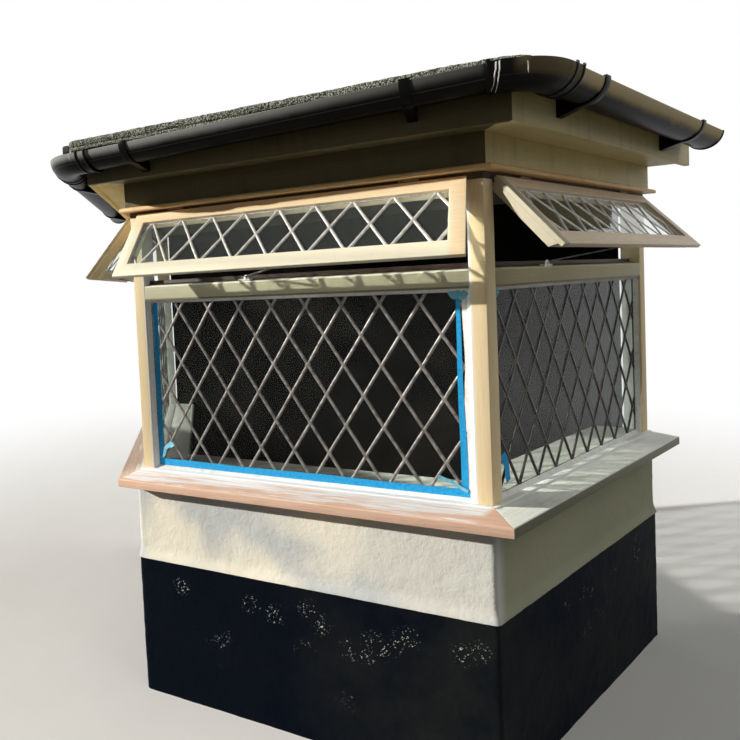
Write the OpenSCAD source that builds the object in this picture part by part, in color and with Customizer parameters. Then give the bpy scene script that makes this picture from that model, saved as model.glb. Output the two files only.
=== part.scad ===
// Splayed timber bay window with leaded lights, three equal-style sides.
// Millimetres, +Z up, +Y into the house. Front face runs along X.

/* [Overall] */
// Width of the front, over the outer arrises of the corner posts
front_w = 1250; // [900:5:2400]
// Distance from the front post face back to the house wall
depth = 1005; // [500:5:1500]
// Turn of each side away from the line of the front, degrees
splay = 60; // [30:1:75]

/* [Dwarf wall] */
// Height of the black painted plinth
plinth_h = 528; // [200:1:900]
// Top of the dwarf wall, under the timber sill
wall_top = 826; // [400:1:1200]
// Thickness of the dwarf wall
wall_thick = 150; // [100:1:300]
// How far the rendered face stands out from the post face
wall_out = 20; // [0:1:80]
// How far the brickwork sits off-centre, to the left
wall_shift = 10; // [0:1:20]
// Outward kick of the render at its lower edge
kick_out = 12; // [0:1:40]
// Height of that kick
kick_h = 46; // [10:1:150]

/* [Sill and board] */
// How far the sill nose stands out from the post face
sill_out = 94; // [40:1:160]
// Height of the sill nose
sill_nose = 31; // [15:1:80]
// Fall of the sill top from the frame to the nose
sill_fall = 16; // [2:1:60]
// Step of the frame above the sloping sill
sill_step = 4; // [1:1:20]
// How far the window board stands in from the frame
board_in = 105; // [60:1:260]
// Thickness of the window board
board_t = 22; // [12:1:40]

/* [Frame] */
// Visible face of the corner posts
post_face = 47; // [30:1:120]
// Depth of the frame from face to back
frame_deep = 70; // [50:1:140]
// Underside of the transoms
transom_low = 1523; // [1100:1:2200]
// Height of the transom face
transom_h = 54; // [30:1:120]
// Underside of the head rail
head_low = 1840; // [1500:1:2500]
// Underside of the head mould
mould_low = 1860; // [1500:1:2600]
// Height of the head mould
mould_h = 16; // [8:1:60]
// How far the head mould stands out
mould_out = 39; // [20:1:100]

/* [Eaves] */
// Underside of the fascia
fascia_low = 1957; // [1600:1:2800]
// Height of the fascia
fascia_h = 105; // [60:1:300]
// How far the fascia stands out from the post face
fascia_out = 136; // [60:1:300]
// Thickness of fascia and frieze boards
board_thin = 16; // [9:1:30]
// Outer radius of the half-round gutter
gutter_r = 56; // [40:1:80]
// Wall of the gutter
gutter_t = 3; // [2:0.5:5]
// Drop of the gutter rim below the underside of the felt, at the right corner
gutter_drop = 9; // [4:1:40]
// Wall of the sockets and brackets round the gutter
socket_t = 4; // [3:0.5:6]
// Gap between fascia and gutter
gutter_gap = 16; // [12:1:24]
// Fall of the front gutter towards the left corner, in each metre
fall_front = 24; // [0:1:40]
// Fall of each side gutter towards the wall, in each metre
fall_side = 15; // [0:1:40]
// Radius of the bend of a gutter angle, to its middle line
bend_r = 146; // [80:1:148]
// Straight socket of the right angle towards the front
socket_short = 14; // [13:1:80]
// Straight socket of each other end of the two angles
socket_long = 66; // [50:1:160]
// How far a gutter end slides into its socket
gutter_insert = 12; // [4:1:12]
// Stop end of each side gutter, short of the end of its side
gutter_short = 10; // [0:1:200]
// Thickness of the roof boarding
deck_t = 18; // [12:1:30]
// How far the felt reaches out over the gutter
felt_out = 194; // [180:1:230]
// Thickness of the built-up felt at its edge
felt_rise = 33; // [20:1:60]

/* [Leaded lights] */
// Width of one diamond on the front
lead_w = 125.2; // [60:0.1:220]
// Width of one diamond on the sides
lead_w_side = 118.7; // [60:0.1:220]
// Height of one diamond
lead_h = 199.5; // [80:0.1:320]
// Lowest row of lead crossings, above the frame of the sill
lead_up = 8.5; // [0:0.1:200]
// Shift of the front diamonds to the left of a centred net
lead_shift = 6; // [0:0.5:60]
// First crossing of a side light, from the edge of its corner post
lead_start = 143.7; // [0:0.1:220]
// Face width of a lead strip
lead_face = 10; // [4:0.5:16]
// Core of the lead between two panes
lead_core = 2; // [1:0.5:4]
// Thickness of the glass
glass_t = 4; // [2:0.5:8]
// Thickness of a lead flange over the glass
flange_t = 1.5; // [0.5:0.25:3]
// Set-back of the glass from the frame face
glass_in = 25; // [10:1:60]
// Width of the putty around the glass
putty_w = 11; // [4:1:25]

/* [Fanlights] */
// Opening angle of the front fanlight
fan_open_front = 36; // [0:1:55]
// Opening angle of the right fanlight
fan_open_right = 41; // [0:1:55]
// Opening angle of the left fanlight
fan_open_left = 38; // [0:1:55]
// Height of a fanlight sash
sash_h = 287; // [180:1:500]
// Thickness of a sash
sash_t = 40; // [25:1:60]
// Thickness of the outer lip that laps the frame
lip_t = 14; // [6:1:25]
// Overlap of that lip on the frame
sash_lap = 4; // [2:1:15]
// Width of the sash stiles
stile_w = 46; // [25:1:90]
// Width of the top rail
rail_top = 44; // [25:1:90]
// Width of the bottom rail
rail_low = 52; // [25:1:120]
// Pin of the front stay, as a share of the front from its middle to the left
stay_at_front = 0.125; // [0:0.005:0.3]
// Pin of each side stay, as a share of the side from the corner
stay_at_side = 0.322; // [0.1:0.001:0.6]
// Reach of a stay along the frame, as a share of the front
stay_reach = 0.148; // [0.05:0.001:0.25]

/* [Hidden] */
$fn = 48;
half_w = front_w / 2;
miter = tan(splay / 2);
sa = sin(splay);
ca = cos(splay);
gutter_mid = fascia_out + gutter_gap + gutter_r;
gutter_reach = gutter_mid + gutter_r;
gutter_back = gutter_mid - gutter_r;
felt_t = 10;
collar_t = socket_t + 3;
reach_max = gutter_reach + collar_t;
y_mid = (depth - reach_max) / 2;
side_len = depth / sa;
gutter_run = side_len - gutter_short;
post_top = head_low;
sill_top = wall_top + sill_nose + sill_fall + sill_step;
frieze_low = mould_low + mould_h;
soffit_low = fascia_low + 13;
soffit_top = soffit_low + 12;
deck_low = fascia_low + fascia_h;
felt_low = deck_low + deck_t;
gutter_rim = felt_low - gutter_drop;
transom_top = transom_low + transom_h;
lead_t = glass_t + 2 * flange_t;
lead_face_in = glass_in - flange_t;
far = 3 * depth;
zone = far / 6;
// clear openings between the posts
front_open = front_w - 2 * post_face;
side_a = post_face + 3;
side_b = side_len - post_face;
side_open = side_b - side_a;
pivot_out = lip_t;
pivot_z = mould_low - 10;
fit_gap = 1;

// plan points: o is the distance out from the post face, k is 1 for right and -1 for left
function cp(o, k) = [k * (half_w + o * miter), -o];
function wp(o, k) = [k * (half_w + (depth + o * ca) / sa * ca + o * sa), depth];
function band_front(o1, o2) = [cp(o1, -1), cp(o1, 1), cp(o2, 1), cp(o2, -1)];
function band_side(o1, o2, k) = [cp(o1, k), wp(o1, k), wp(o2, k), cp(o2, k)];
function whole(o) = [cp(o, -1), cp(o, 1), wp(o, 1), wp(o, -1)];
function flip(p) = [for (q = p) [-q[0], q[1]]];

module place() { translate([0, -y_mid, 0]) children(); }
module on_right() { translate([half_w, 0, 0]) rotate([0, 0, splay]) children(); }
module both() { children(); mirror([1, 0, 0]) children(); }
// a box-section member of the front or of one side, mitred at the corner
module box_front(o1, o2, z1, z2) {
  translate([0, 0, z1]) linear_extrude(z2 - z1) polygon(band_front(o1, o2));
}
module box_side(o1, o2, z1, z2) {
  translate([0, 0, z1]) linear_extrude(z2 - z1) polygon(band_side(o1, o2, 1));
}
// a shaped member: the profile is given as points of (out, height)
module run_x(p, a, b) {
  translate([a, 0, 0]) rotate([90, 0, 90]) linear_extrude(b - a) polygon(flip(p));
}
module run_front(p) {
  intersection() {
    run_x(p, -far / 2, far / 2);
    translate([0, 0, -5]) linear_extrude(far) polygon(band_front(zone, -zone));
  }
}
module run_side(p) {
  intersection() {
    on_right() run_x(p, -far, far);
    translate([0, 0, -5]) linear_extrude(far) polygon(band_side(zone, -zone, 1));
  }
}

// dwarf wall
wall_in = wall_out - wall_thick;
wall_prof = [[wall_out + kick_out, plinth_h], [wall_out + kick_out - 2, plinth_h + 6],
  [wall_out, plinth_h + kick_h], [wall_out, wall_top], [-frame_deep, wall_top],
  [-frame_deep, sill_top - 14], [wall_in, sill_top - 14], [wall_in, plinth_h]];
module plinth_front() {
  color("#14161c") translate([-wall_shift, 0, 0]) box_front(wall_out + 6, wall_in, 0, plinth_h);
}
module plinth_sides() {
  color("#14161c") translate([-wall_shift, 0, 0]) both() box_side(wall_out + 6, wall_in, 0, plinth_h);
}
module wall_front() { color("#ebe6cd") translate([-wall_shift, 0, 0]) run_front(wall_prof); }
module wall_sides() {
  color("#ebe6cd") translate([-wall_shift, 0, 0]) both() run_side(wall_prof);
}

// sill with sloping top, step, and drip groove under the nose
sill_prof = [[sill_out, wall_top], [sill_out, wall_top + sill_nose - 3],
  [sill_out - 3, wall_top + sill_nose], [12, sill_top - sill_step], [12, sill_top],
  [-frame_deep, sill_top], [-frame_deep, wall_top], [sill_out - 18, wall_top],
  [sill_out - 18, wall_top + 6], [sill_out - 10, wall_top + 6], [sill_out - 10, wall_top]];
module sill_front() { color("#dcaa87") run_front(sill_prof); }
module sill_sides() { color("#8c8a7c") both() run_side(sill_prof); }

// corner post: five-sided in plan so that both faces are square to their lights
module corner_post() {
  q = post_face;
  translate([0, 0, sill_top]) linear_extrude(post_top - sill_top)
    polygon([[half_w - q, 0], [half_w, 0], [half_w + side_a * ca, side_a * sa],
      [half_w + side_a * ca - frame_deep * sa, side_a * sa + frame_deep * ca],
      [half_w - q, frame_deep]]);
}
module corner_posts() { color("#ebcd9b") both() corner_post(); }
module wall_posts() {
  color("#ebcd9b") both() translate([0, 0, sill_top]) linear_extrude(post_top - sill_top)
    polygon([[half_w + side_b * ca, side_b * sa], wp(0, 1), wp(-frame_deep, 1),
      [half_w + side_b * ca - frame_deep * sa, side_b * sa + frame_deep * ca]]);
}

// transom: weathered top with an upstand behind the sash
transom_prof = [[0, transom_low], [0, transom_top - 2], [-2, transom_top],
  [-36, transom_top + 10], [-36, transom_top + 22], [-frame_deep, transom_top + 22],
  [-frame_deep, transom_low]];
module transom_front() {
  color("#e1d2aa") run_x(transom_prof, -front_open / 2, front_open / 2);
}
module transom_sides() { color("#b4a582") both() on_right() run_x(transom_prof, side_a, side_b); }

module head_rail_front() { color("#e1d2aa") box_front(0, -frame_deep, head_low, soffit_top); }
module head_rail_sides() { color("#e1d2aa") both() box_side(0, -frame_deep, head_low, soffit_top); }
mould_prof = [[0, mould_low], [mould_out, mould_low], [mould_out, mould_low + mould_h - 5],
  [mould_out - 6, mould_low + mould_h], [0, mould_low + mould_h]];
module head_mould_front() { color("#d7aa82") run_front(mould_prof); }
module head_mould_sides() { color("#d7aa82") both() run_side(mould_prof); }
module frieze_front() { color("#c8be96") box_front(board_thin, 0, frieze_low, soffit_top); }
module frieze_sides() { color("#c8be96") both() box_side(board_thin, 0, frieze_low, soffit_top); }
fascia_in = fascia_out - board_thin;
module soffit_front() { color("#b9af8c") box_front(fascia_in, board_thin, soffit_low, soffit_top); }
module soffit_sides() {
  color("#b9af8c") both() box_side(fascia_in, board_thin, soffit_low, soffit_top);
}
module fascia_front() { color("#c8be96") box_front(fascia_out, fascia_in, fascia_low, deck_low); }
module fascia_sides() {
  color("#c8be96") both() box_side(fascia_out, fascia_in, fascia_low, deck_low);
}
module roof_deck() {
  color("#a58c69") translate([0, 0, deck_low]) linear_extrude(deck_t)
    polygon(whole(fascia_out));
}
// felt: flat sheet with a thick drip over the gutter
module felt_edge(o1, o2, z1, z2) {
  translate([0, 0, felt_low + z1]) linear_extrude(z2 - z1) difference() {
    polygon(whole(o1));
    polygon([cp(o2, -1), cp(o2, 1), wp(o2, 1) + [0, 0], wp(o2, 1) + [0, 50],
      wp(o2, -1) + [0, 50], wp(o2, -1)]);
  }
}
module roof_felt() {
  color("#878d80") union() {
    translate([0, 0, felt_low]) linear_extrude(felt_t) polygon(whole(felt_out));
    felt_edge(felt_out - 5, gutter_back + 6, -11, 0);
    felt_edge(felt_out - 2, felt_out - 54, felt_t, felt_rise - 9);
    felt_edge(felt_out - 9, felt_out - 44, felt_rise - 9, felt_rise);
  }
}
module ceiling_lining() {
  color("#e6e4da") translate([0, 0, frieze_low]) linear_extrude(12) polygon(whole(-frame_deep));
}
board_prof = [[-frame_deep, sill_top - 14], [-frame_deep, sill_top - 14 + board_t],
  [-frame_deep - board_in + 5, sill_top - 14 + board_t],
  [-frame_deep - board_in, sill_top - 20 + board_t],
  [-frame_deep - board_in, sill_top - 8], [-frame_deep - board_in + 5, sill_top - 14]];
module window_board() {
  color("#ece9e0") union() {
    run_front(board_prof);
    both() run_side(board_prof);
  }
}

// a frame ring: a block less the crossing of two shaped cuts, so its inner corners mitre.
// p lists the edge of the opening from front to back as (in from the edge, back)
function rev(v) = [for (i = [len(v) - 1:-1:0]) v[i]];
module ring4(w, h, p, b0, b1) {
  difference() {
    translate([0, b0, 0]) cube([w, b1 - b0, h]);
    intersection() {
      translate([-1, 0, 0]) rotate([90, 0, 90]) linear_extrude(w + 2)
        polygon(concat([for (q = p) [q[1], q[0]]], rev([for (q = p) [q[1], h - q[0]]])));
      translate([0, 0, -1]) linear_extrude(h + 2)
        polygon(concat([for (q = p) [q[0], q[1]]], rev([for (q = p) [w - q[0], q[1]]])));
    }
  }
}
light_h = transom_low - sill_top;
stop_front = lead_face_in + lead_t;
stop_sec = [[putty_w, stop_front - 1], [putty_w, stop_front + 6], [putty_w - 3, frame_deep - 1]];
putty_sec = [[-2, 4], [putty_w - 2, lead_face_in - 2], [putty_w, lead_face_in],
  [putty_w, lead_face_in + 1]];
module light_ring(w, p, b0, b1) { translate([0, 0, sill_top]) ring4(w, light_h, p, b0, b1); }
module glazing_stops() {
  color("#b4a582") {
    translate([-front_open / 2, 0, 0]) light_ring(front_open, stop_sec, stop_front, frame_deep - 2);
    both() on_right() translate([side_a, 0, 0]) light_ring(side_open, stop_sec, stop_front, frame_deep - 2);
  }
}
module putty_beads() {
  color("#e8e4d8") {
    translate([-front_open / 2, 0, 0]) light_ring(front_open, putty_sec, 5, lead_face_in);
    both() on_right() translate([side_a, 0, 0]) light_ring(side_open, putty_sec, 5, lead_face_in);
  }
}

// leaded light: net of crossing strips; x0, z0 is one crossing, dw by dh one diamond
module net(w, h, x0, z0, dw, dh, face, edge) {
  n = ceil(w / dw) + ceil(h / dh) + 2;
  intersection() {
    square([w, h]);
    union() {
      for (k = [-n:n], s = [-1, 1]) translate([x0 + k * dw, z0]) rotate(s * atan2(dh, dw))
        square([2.6 * (h + dh) * norm([dw, dh]) / dh, face], center = true);
      difference() {
        square([w, h]);
        translate([edge, edge]) square([w - 2 * edge, h - 2 * edge]);
      }
    }
  }
}
// stands a flat outline up on its lower edge, from y to y + t behind the face
module upright(y, t) { translate([0, y + t, 0]) rotate([90, 0, 0]) linear_extrude(t) children(); }
module quarries(w, h, x0, z0, dw, dh) {
  upright(flange_t, glass_t) difference() {
    translate([0, 0]) square([w, h]);
    net(w, h, x0, z0, dw, dh, lead_core, lead_core);
  }
}
module came_net(w, h, x0, z0, dw, dh) {
  upright(0, flange_t) net(w, h, x0, z0, dw, dh, lead_face, lead_face);
  upright(flange_t, glass_t) net(w, h, x0, z0, dw, dh, lead_core, lead_core);
  upright(flange_t + glass_t, flange_t) net(w, h, x0, z0, dw, dh, lead_face, lead_face);
}
module at_front_light() { translate([-front_open / 2, lead_face_in, sill_top]) children(); }
module at_side_light() { both() on_right() translate([side_a, lead_face_in, sill_top]) children(); }
front_x0 = front_open / 2 - lead_shift + lead_w / 2;
side_x0 = lead_start;
module glass_front() {
  color("#9fb4b0", 0.35) at_front_light()
    quarries(front_open, light_h, front_x0, lead_up, lead_w, lead_h);
}
module glass_sides() {
  color("#9fb4b0", 0.35) at_side_light()
    quarries(side_open, light_h, side_x0, lead_up, lead_w_side, lead_h);
}
module leads_front() {
  color("#a09d96") at_front_light()
    came_net(front_open, light_h, front_x0, lead_up, lead_w, lead_h);
}
module leads_sides() {
  color("#a09d96") at_side_light()
    came_net(side_open, light_h, side_x0, lead_up, lead_w_side, lead_h);
}

// fanlight sash, drawn shut and hanging below its pivot line, then swung out
sash_w_front = front_open + 2 * sash_lap;
sash_w_side = side_open + 2 * sash_lap;
pocket = 8;
module sash_body(w) {
  h = sash_h;
  c = sash_lap + fit_gap;
  difference() {
    union() {
      upright(0, lip_t) translate([0, -h]) square([w, h]);
      upright(lip_t, sash_t - lip_t) translate([c, -h + 14]) square([w - 2 * c, h - 14 - c]);
    }
    upright(-1, sash_t + 2) translate([stile_w, -h + rail_low])
      square([w - 2 * stile_w, h - rail_low - rail_top]);
    upright(12, lead_t) translate([stile_w - pocket, -h + rail_low - pocket])
      square([w - 2 * stile_w + 2 * pocket, h - rail_low - rail_top + 2 * pocket]);
    translate([-1, 0, 0]) rotate([90, 0, 90]) linear_extrude(w + 2)
      polygon([[lip_t, -h - 1], [sash_t + 1, -h - 1], [sash_t + 1, -h + 27], [lip_t, -h + 14]]);
  }
}
module swung(a) { translate([0, -pivot_out, pivot_z]) rotate([-a, 0, 0]) children(); }
module in_front() { swung(fan_open_front) translate([-sash_w_front / 2, 0, 0]) children(); }
module in_sides() {
  on_right() swung(fan_open_right) translate([side_a - sash_lap, 0, 0]) children();
  mirror([1, 0, 0]) on_right() swung(fan_open_left)
    translate([side_a - sash_lap, 0, 0]) children();
}
module sash_front() { color("#f0dcb4") in_front() sash_body(sash_w_front); }
module sash_sides() { color("#d7c39b") in_sides() sash_body(sash_w_side); }
fan_pane_h = sash_h - rail_low - rail_top + 2 * pocket;
function fan_pane_w(w) = w - 2 * stile_w + 2 * pocket;
module at_fan_pane() {
  translate([stile_w - pocket, 12, -sash_h + rail_low - pocket]) children();
}
module fan_glass() {
  color("#9fb4b0", 0.35) {
    in_front() at_fan_pane() quarries(fan_pane_w(sash_w_front), fan_pane_h,
      fan_pane_w(sash_w_front) / 2 + lead_w / 2, fan_pane_h / 2, lead_w, lead_h);
    in_sides() at_fan_pane() quarries(fan_pane_w(sash_w_side), fan_pane_h,
      fan_pane_w(sash_w_side) / 2, fan_pane_h / 2, lead_w_side, lead_h);
  }
}
module fan_leads() {
  color("#a09d96") {
    in_front() at_fan_pane() came_net(fan_pane_w(sash_w_front), fan_pane_h,
      fan_pane_w(sash_w_front) / 2 + lead_w / 2, fan_pane_h / 2, lead_w, lead_h);
    in_sides() at_fan_pane() came_net(fan_pane_w(sash_w_side), fan_pane_h,
      fan_pane_w(sash_w_side) / 2, fan_pane_h / 2, lead_w_side, lead_h);
  }
}

// stays: a flat bar from the pin on the transom to the inner face of the bottom rail
stay_z = transom_top + 15;
stay_dx = stay_reach * front_w;
pin_front = -stay_at_front * front_w;
pin_side = stay_at_side * side_len;
stay_up = sash_h - 34;
module stay(a) {
  out = pivot_out + stay_up * sin(a) - sash_t * cos(a) - 4;
  rise = pivot_z - stay_up * cos(a) - sash_t * sin(a) - 4 - stay_z;
  plan = norm([stay_dx, out + 12]);
  long = norm([plan, rise]);
  translate([0, 12, stay_z]) rotate([0, 0, -atan2(out + 12, stay_dx)])
    rotate([0, -atan2(rise, plan), 0]) union() {
      translate([-12, -6, 0]) cube([long + 12, 12, 4]);
      translate([-12, 0, 0]) cylinder(d = 18, h = 4);
    }
}
module stay_pin() {
  translate([0, 12, transom_top + 4]) union() {
    translate([-24, -9, -1]) cube([48, 18, 6]);
    cylinder(d = 7, h = 10.5);
  }
}
module casement_stays() {
  color("#1a1a1c") {
    translate([pin_front, 0, 0]) stay(fan_open_front);
    on_right() translate([pin_side, 0, 0]) stay(fan_open_right);
    mirror([1, 0, 0]) on_right() translate([pin_side, 0, 0]) stay(fan_open_left);
  }
}
module stay_pins() {
  color("#d9d6cc") {
    translate([pin_front, 0, 0]) stay_pin();
    both() on_right() translate([pin_side, 0, 0]) stay_pin();
  }
}
module hinge() {
  translate([-30, -6, mould_low - 4]) rotate([0, 90, 0]) cylinder(r = 4, h = 60);
  translate([-30, -2, mould_low - 14]) cube([60, 2, 14]);
}
module sash_hinges() {
  color("#6e6a60") {
    for (x = [-1, 1]) translate([x * front_open * 0.36, 0, 0]) hinge();
    both() on_right() for (x = [0.16, 0.84]) translate([side_a + side_open * x, 0, 0]) hinge();
  }
}

// half-round gutter: straight runs that fall, level angles with a rounded bend between them,
// brackets and stop ends. Sections are drawn with the rim at height 0.
module half_ring(r1, r0) {
  difference() {
    circle(r = r1);
    circle(r = r0);
    translate([-r1 - 1, 0]) square([2 * r1 + 2, r1 + 2]);
  }
}
module gutter_sec(r1, r0) { translate([-gutter_mid, 0]) half_ring(r1, r0); }
module gutter_sec_lipped() {
  union() {
    gutter_sec(gutter_r, gutter_r - gutter_t);
    translate([-gutter_mid - gutter_r, -5]) square([6, 5]);
  }
}
module along_x(a, b) { translate([a, 0, 0]) rotate([90, 0, 90]) linear_extrude(b - a) children(); }
// ends of the bends on the front and on a side, and the mouths of the sockets beyond them
bend_x = half_w + gutter_mid * miter - bend_r * miter;
bend_s = (bend_r - gutter_mid) * miter;
mouth_right = bend_x - socket_short;
mouth_left = -bend_x + socket_long;
mouth_s = bend_s + socket_long;
front_left = mouth_left - gutter_insert;
rim_left = gutter_rim - (mouth_right - front_left) * fall_front / 1000;
module front_fall() {
  translate([mouth_right, 0, gutter_rim]) rotate([0, -atan(fall_front / 1000), 0])
    translate([-mouth_right, 0, 0]) children();
}
module side_fall(rim) {
  translate([mouth_s, 0, rim]) rotate([0, atan(fall_side / 1000), 0])
    translate([-mouth_s, 0, 0]) children();
}
module right_fall() { on_right() side_fall(gutter_rim) children(); }
module left_fall() { mirror([1, 0, 0]) on_right() side_fall(rim_left) children(); }
module gutter_front() {
  color("#0f1012") front_fall() along_x(front_left, mouth_right + gutter_insert)
    gutter_sec_lipped();
}
module side_run() { along_x(mouth_s - gutter_insert, gutter_run) gutter_sec_lipped(); }
module gutter_sides() {
  color("#0f1012") {
    right_fall() side_run();
    left_fall() side_run();
  }
}
// collar round the mouth of a socket, with its lug at the front edge
collar_w = 9;
collar_step = 36;
module collar(a) {
  along_x(a, a + collar_w) union() {
    gutter_sec(gutter_r + collar_t, gutter_r + 2);
    translate([-gutter_mid - gutter_r - collar_t, -3]) square([collar_t - 2, 8]);
  }
}
// socket from the bend to its mouth; turn is 1 where the mouth lies at higher x.
// It laps the end of the bend by 1 mm, and the bend is a hair thinner all round.
module socket(a, long, turn) {
  union() {
    along_x(min(a - turn, a + turn * long), max(a - turn, a + turn * long))
      gutter_sec(gutter_r + socket_t, gutter_r);
    for (d = [0, collar_step]) if (long > d + collar_w)
      collar(turn > 0 ? a + long - d - collar_w : a - long + d);
  }
}
module gutter_angle(rim, front_socket) {
  translate([0, 0, rim]) {
    socket(bend_x, front_socket, -1);
    translate([bend_x, bend_r - gutter_mid, 0]) rotate([0, 0, -90]) rotate_extrude(angle = splay)
      translate([bend_r, 0]) half_ring(gutter_r + socket_t - 0.5, gutter_r + 0.5);
    on_right() socket(bend_s, socket_long, 1);
  }
}
// retaining clip of the left angle, which has sprung up from the rim
clip_w = 28;
clip_h = 26;
module gutter_angles() {
  color("#101113") {
    gutter_angle(gutter_rim, socket_short);
    mirror([1, 0, 0]) {
      gutter_angle(rim_left, socket_long);
      translate([bend_x, -gutter_mid - gutter_r - socket_t, rim_left])
        cube([clip_w, socket_t, clip_h]);
    }
  }
}
bracket_plate = 7;
bracket_drop = 74;
module bracket(x) {
  along_x(x - 14, x + 14) union() {
    gutter_sec(gutter_r + socket_t, gutter_r);
    translate([-fascia_out - bracket_plate, -bracket_drop]) square([bracket_plate, bracket_drop]);
    difference() {
      polygon([[-fascia_out, 0], [-fascia_out, -bracket_drop],
        [-fascia_out - bracket_plate, -bracket_drop], [-gutter_mid, -gutter_r - 3],
        [-gutter_mid, -gutter_r - 1], [-gutter_back - 8, 0]]);
      translate([-gutter_mid, 0]) circle(r = gutter_r + 2);
    }
    translate([-gutter_mid - gutter_r - socket_t, 0]) square([socket_t + 5, 4]);
  }
}
module gutter_brackets() {
  color("#101113") {
    front_fall() for (x = [-0.354, 0.362]) bracket(x * front_w);
    right_fall() for (x = [0.146, 0.815]) bracket(x * gutter_run);
    left_fall() for (x = [0.146, 0.815]) bracket(x * gutter_run);
  }
}
module stop_end() {
  along_x(gutter_run, gutter_run + 5) gutter_sec(gutter_r + 3, 0);
}
module gutter_stops() {
  color("#101113") {
    right_fall() stop_end();
    left_fall() stop_end();
  }
}

place() {
  plinth_front();
  plinth_sides();
  wall_front();
  wall_sides();
  sill_front();
  sill_sides();
  corner_posts();
  wall_posts();
  transom_front();
  transom_sides();
  head_rail_front();
  head_rail_sides();
  head_mould_front();
  head_mould_sides();
  frieze_front();
  frieze_sides();
  soffit_front();
  soffit_sides();
  fascia_front();
  fascia_sides();
  roof_deck();
  roof_felt();
  ceiling_lining();
  window_board();
  glazing_stops();
  putty_beads();
  glass_front();
  glass_sides();
  leads_front();
  leads_sides();
  sash_front();
  sash_sides();
  fan_glass();
  fan_leads();
  casement_stays();
  stay_pins();
  sash_hinges();
  gutter_front();
  gutter_sides();
  gutter_angles();
  gutter_brackets();
  gutter_stops();
}
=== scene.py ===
"""Looks for a splayed timber bay window with leaded lights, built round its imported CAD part."""

import logging
import math
from dataclasses import dataclass, replace
from enum import Enum
from typing import Callable, Dict, List, Mapping, Optional, Sequence, Tuple

import bmesh
import bpy
import numpy as np
from mathutils import Matrix, Vector


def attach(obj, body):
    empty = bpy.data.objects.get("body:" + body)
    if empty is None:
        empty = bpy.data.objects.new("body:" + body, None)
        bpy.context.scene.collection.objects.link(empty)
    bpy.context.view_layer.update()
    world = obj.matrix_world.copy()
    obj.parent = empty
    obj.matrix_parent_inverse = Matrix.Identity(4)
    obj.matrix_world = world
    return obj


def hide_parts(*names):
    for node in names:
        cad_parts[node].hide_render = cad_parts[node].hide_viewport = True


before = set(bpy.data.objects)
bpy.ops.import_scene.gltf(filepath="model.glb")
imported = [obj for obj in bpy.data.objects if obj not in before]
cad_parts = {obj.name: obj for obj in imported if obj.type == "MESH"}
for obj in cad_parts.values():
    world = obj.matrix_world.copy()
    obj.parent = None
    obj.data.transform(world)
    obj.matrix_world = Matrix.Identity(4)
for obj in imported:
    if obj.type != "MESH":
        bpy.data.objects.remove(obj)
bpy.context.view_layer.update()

logging.basicConfig(level=logging.INFO, format="%(message)s")
log = logging.getLogger("bay")

Array = np.ndarray
Triple = Tuple[float, float, float]
Socket = bpy.types.NodeSocket
Node = bpy.types.Node
Tree = bpy.types.NodeTree
Material = bpy.types.Material
Mesh = bpy.types.Mesh
Piece = bpy.types.Object

X_AXIS, Y_AXIS, Z_AXIS = (1.0, 0.0, 0.0), (0.0, 1.0, 0.0), (0.0, 0.0, 1.0)
UP = np.array(Z_AXIS)


# Plan of the bay
class Side(Enum):
    """The three sides of the bay, as seen from outside."""

    LEFT = -1
    FRONT = 0
    RIGHT = 1

    @property
    def word(self) -> str:
        """Its name in lower case."""
        return self.name.lower()


BOTH_SIDES = (Side.LEFT, Side.RIGHT)


@dataclass(frozen=True)
class Plan:
    """Plan sizes of the bay in metres, the same values as the part's source."""

    half: float = 0.625
    depth: float = 1.005
    turn: float = math.radians(60.0)
    shift_y: float = 0.367
    post: float = 0.047
    side_post: float = 0.050
    sill_top: float = 0.877
    transom_low: float = 1.523
    transom_top: float = 1.577
    pivot_out: float = 0.014
    pivot_z: float = 1.850
    sash_h: float = 0.287

    @property
    def wall_y(self) -> float:
        """Plane of the house wall."""
        return self.depth - self.shift_y

    @property
    def miter(self) -> float:
        """Sideways run of the corner for each metre out from the post face."""
        return math.tan(self.turn / 2)

    @property
    def side_len(self) -> float:
        """Length of a side face from the corner to the house wall."""
        return self.depth / math.sin(self.turn)

    def frame_of(self, side: Side) -> Tuple[Array, Array, Array]:
        """Gives the local frame of one side.

        Args:
            side: which side.

        Returns:
            The corner where the run starts, the unit direction along it and the inward normal.
        """
        k, s, c = float(side.value), math.sin(self.turn), math.cos(self.turn)
        if side is Side.FRONT:
            return np.array([0.0, -self.shift_y, 0.0]), np.array(X_AXIS), np.array(Y_AXIS)
        return (np.array([k * self.half, -self.shift_y, 0.0]), np.array([k * c, s, 0.0]),
                np.array([-k * s, c, 0.0]))

    def place(self, side: Side, along: Array, back: Array, z: Array) -> Array:
        """Turns local (along, back from face, height) into room coordinates.

        Args:
            side: which side the values are for.
            along: distance along the face.
            back: distance in from the post face.
            z: height.

        Returns:
            Array (..., 3): corner + along * direction + back * inward normal, with z as height.
        """
        origin, run, inward = self.frame_of(side)
        along, back, z = np.broadcast_arrays(np.asarray(along, float), back, z)
        out = origin + along[..., None] * run + back[..., None] * inward
        out[..., 2] = z
        return out


PLAN = Plan()


# Numbers on surfaces
def spots(x: Array, y: Array, z: object = 0.0) -> Array:
    """Joins coordinates into points. Args: x, y, z: shapes that broadcast. Returns: (..., 3)."""
    return np.stack(np.broadcast_arrays(x, y, z), -1)


def bent(value: Array, power: float) -> Array:
    """Power that keeps the sign. Args: value; power. Returns: sign(value) * |value|^power."""
    return np.sign(value) * np.abs(value) ** power


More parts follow.
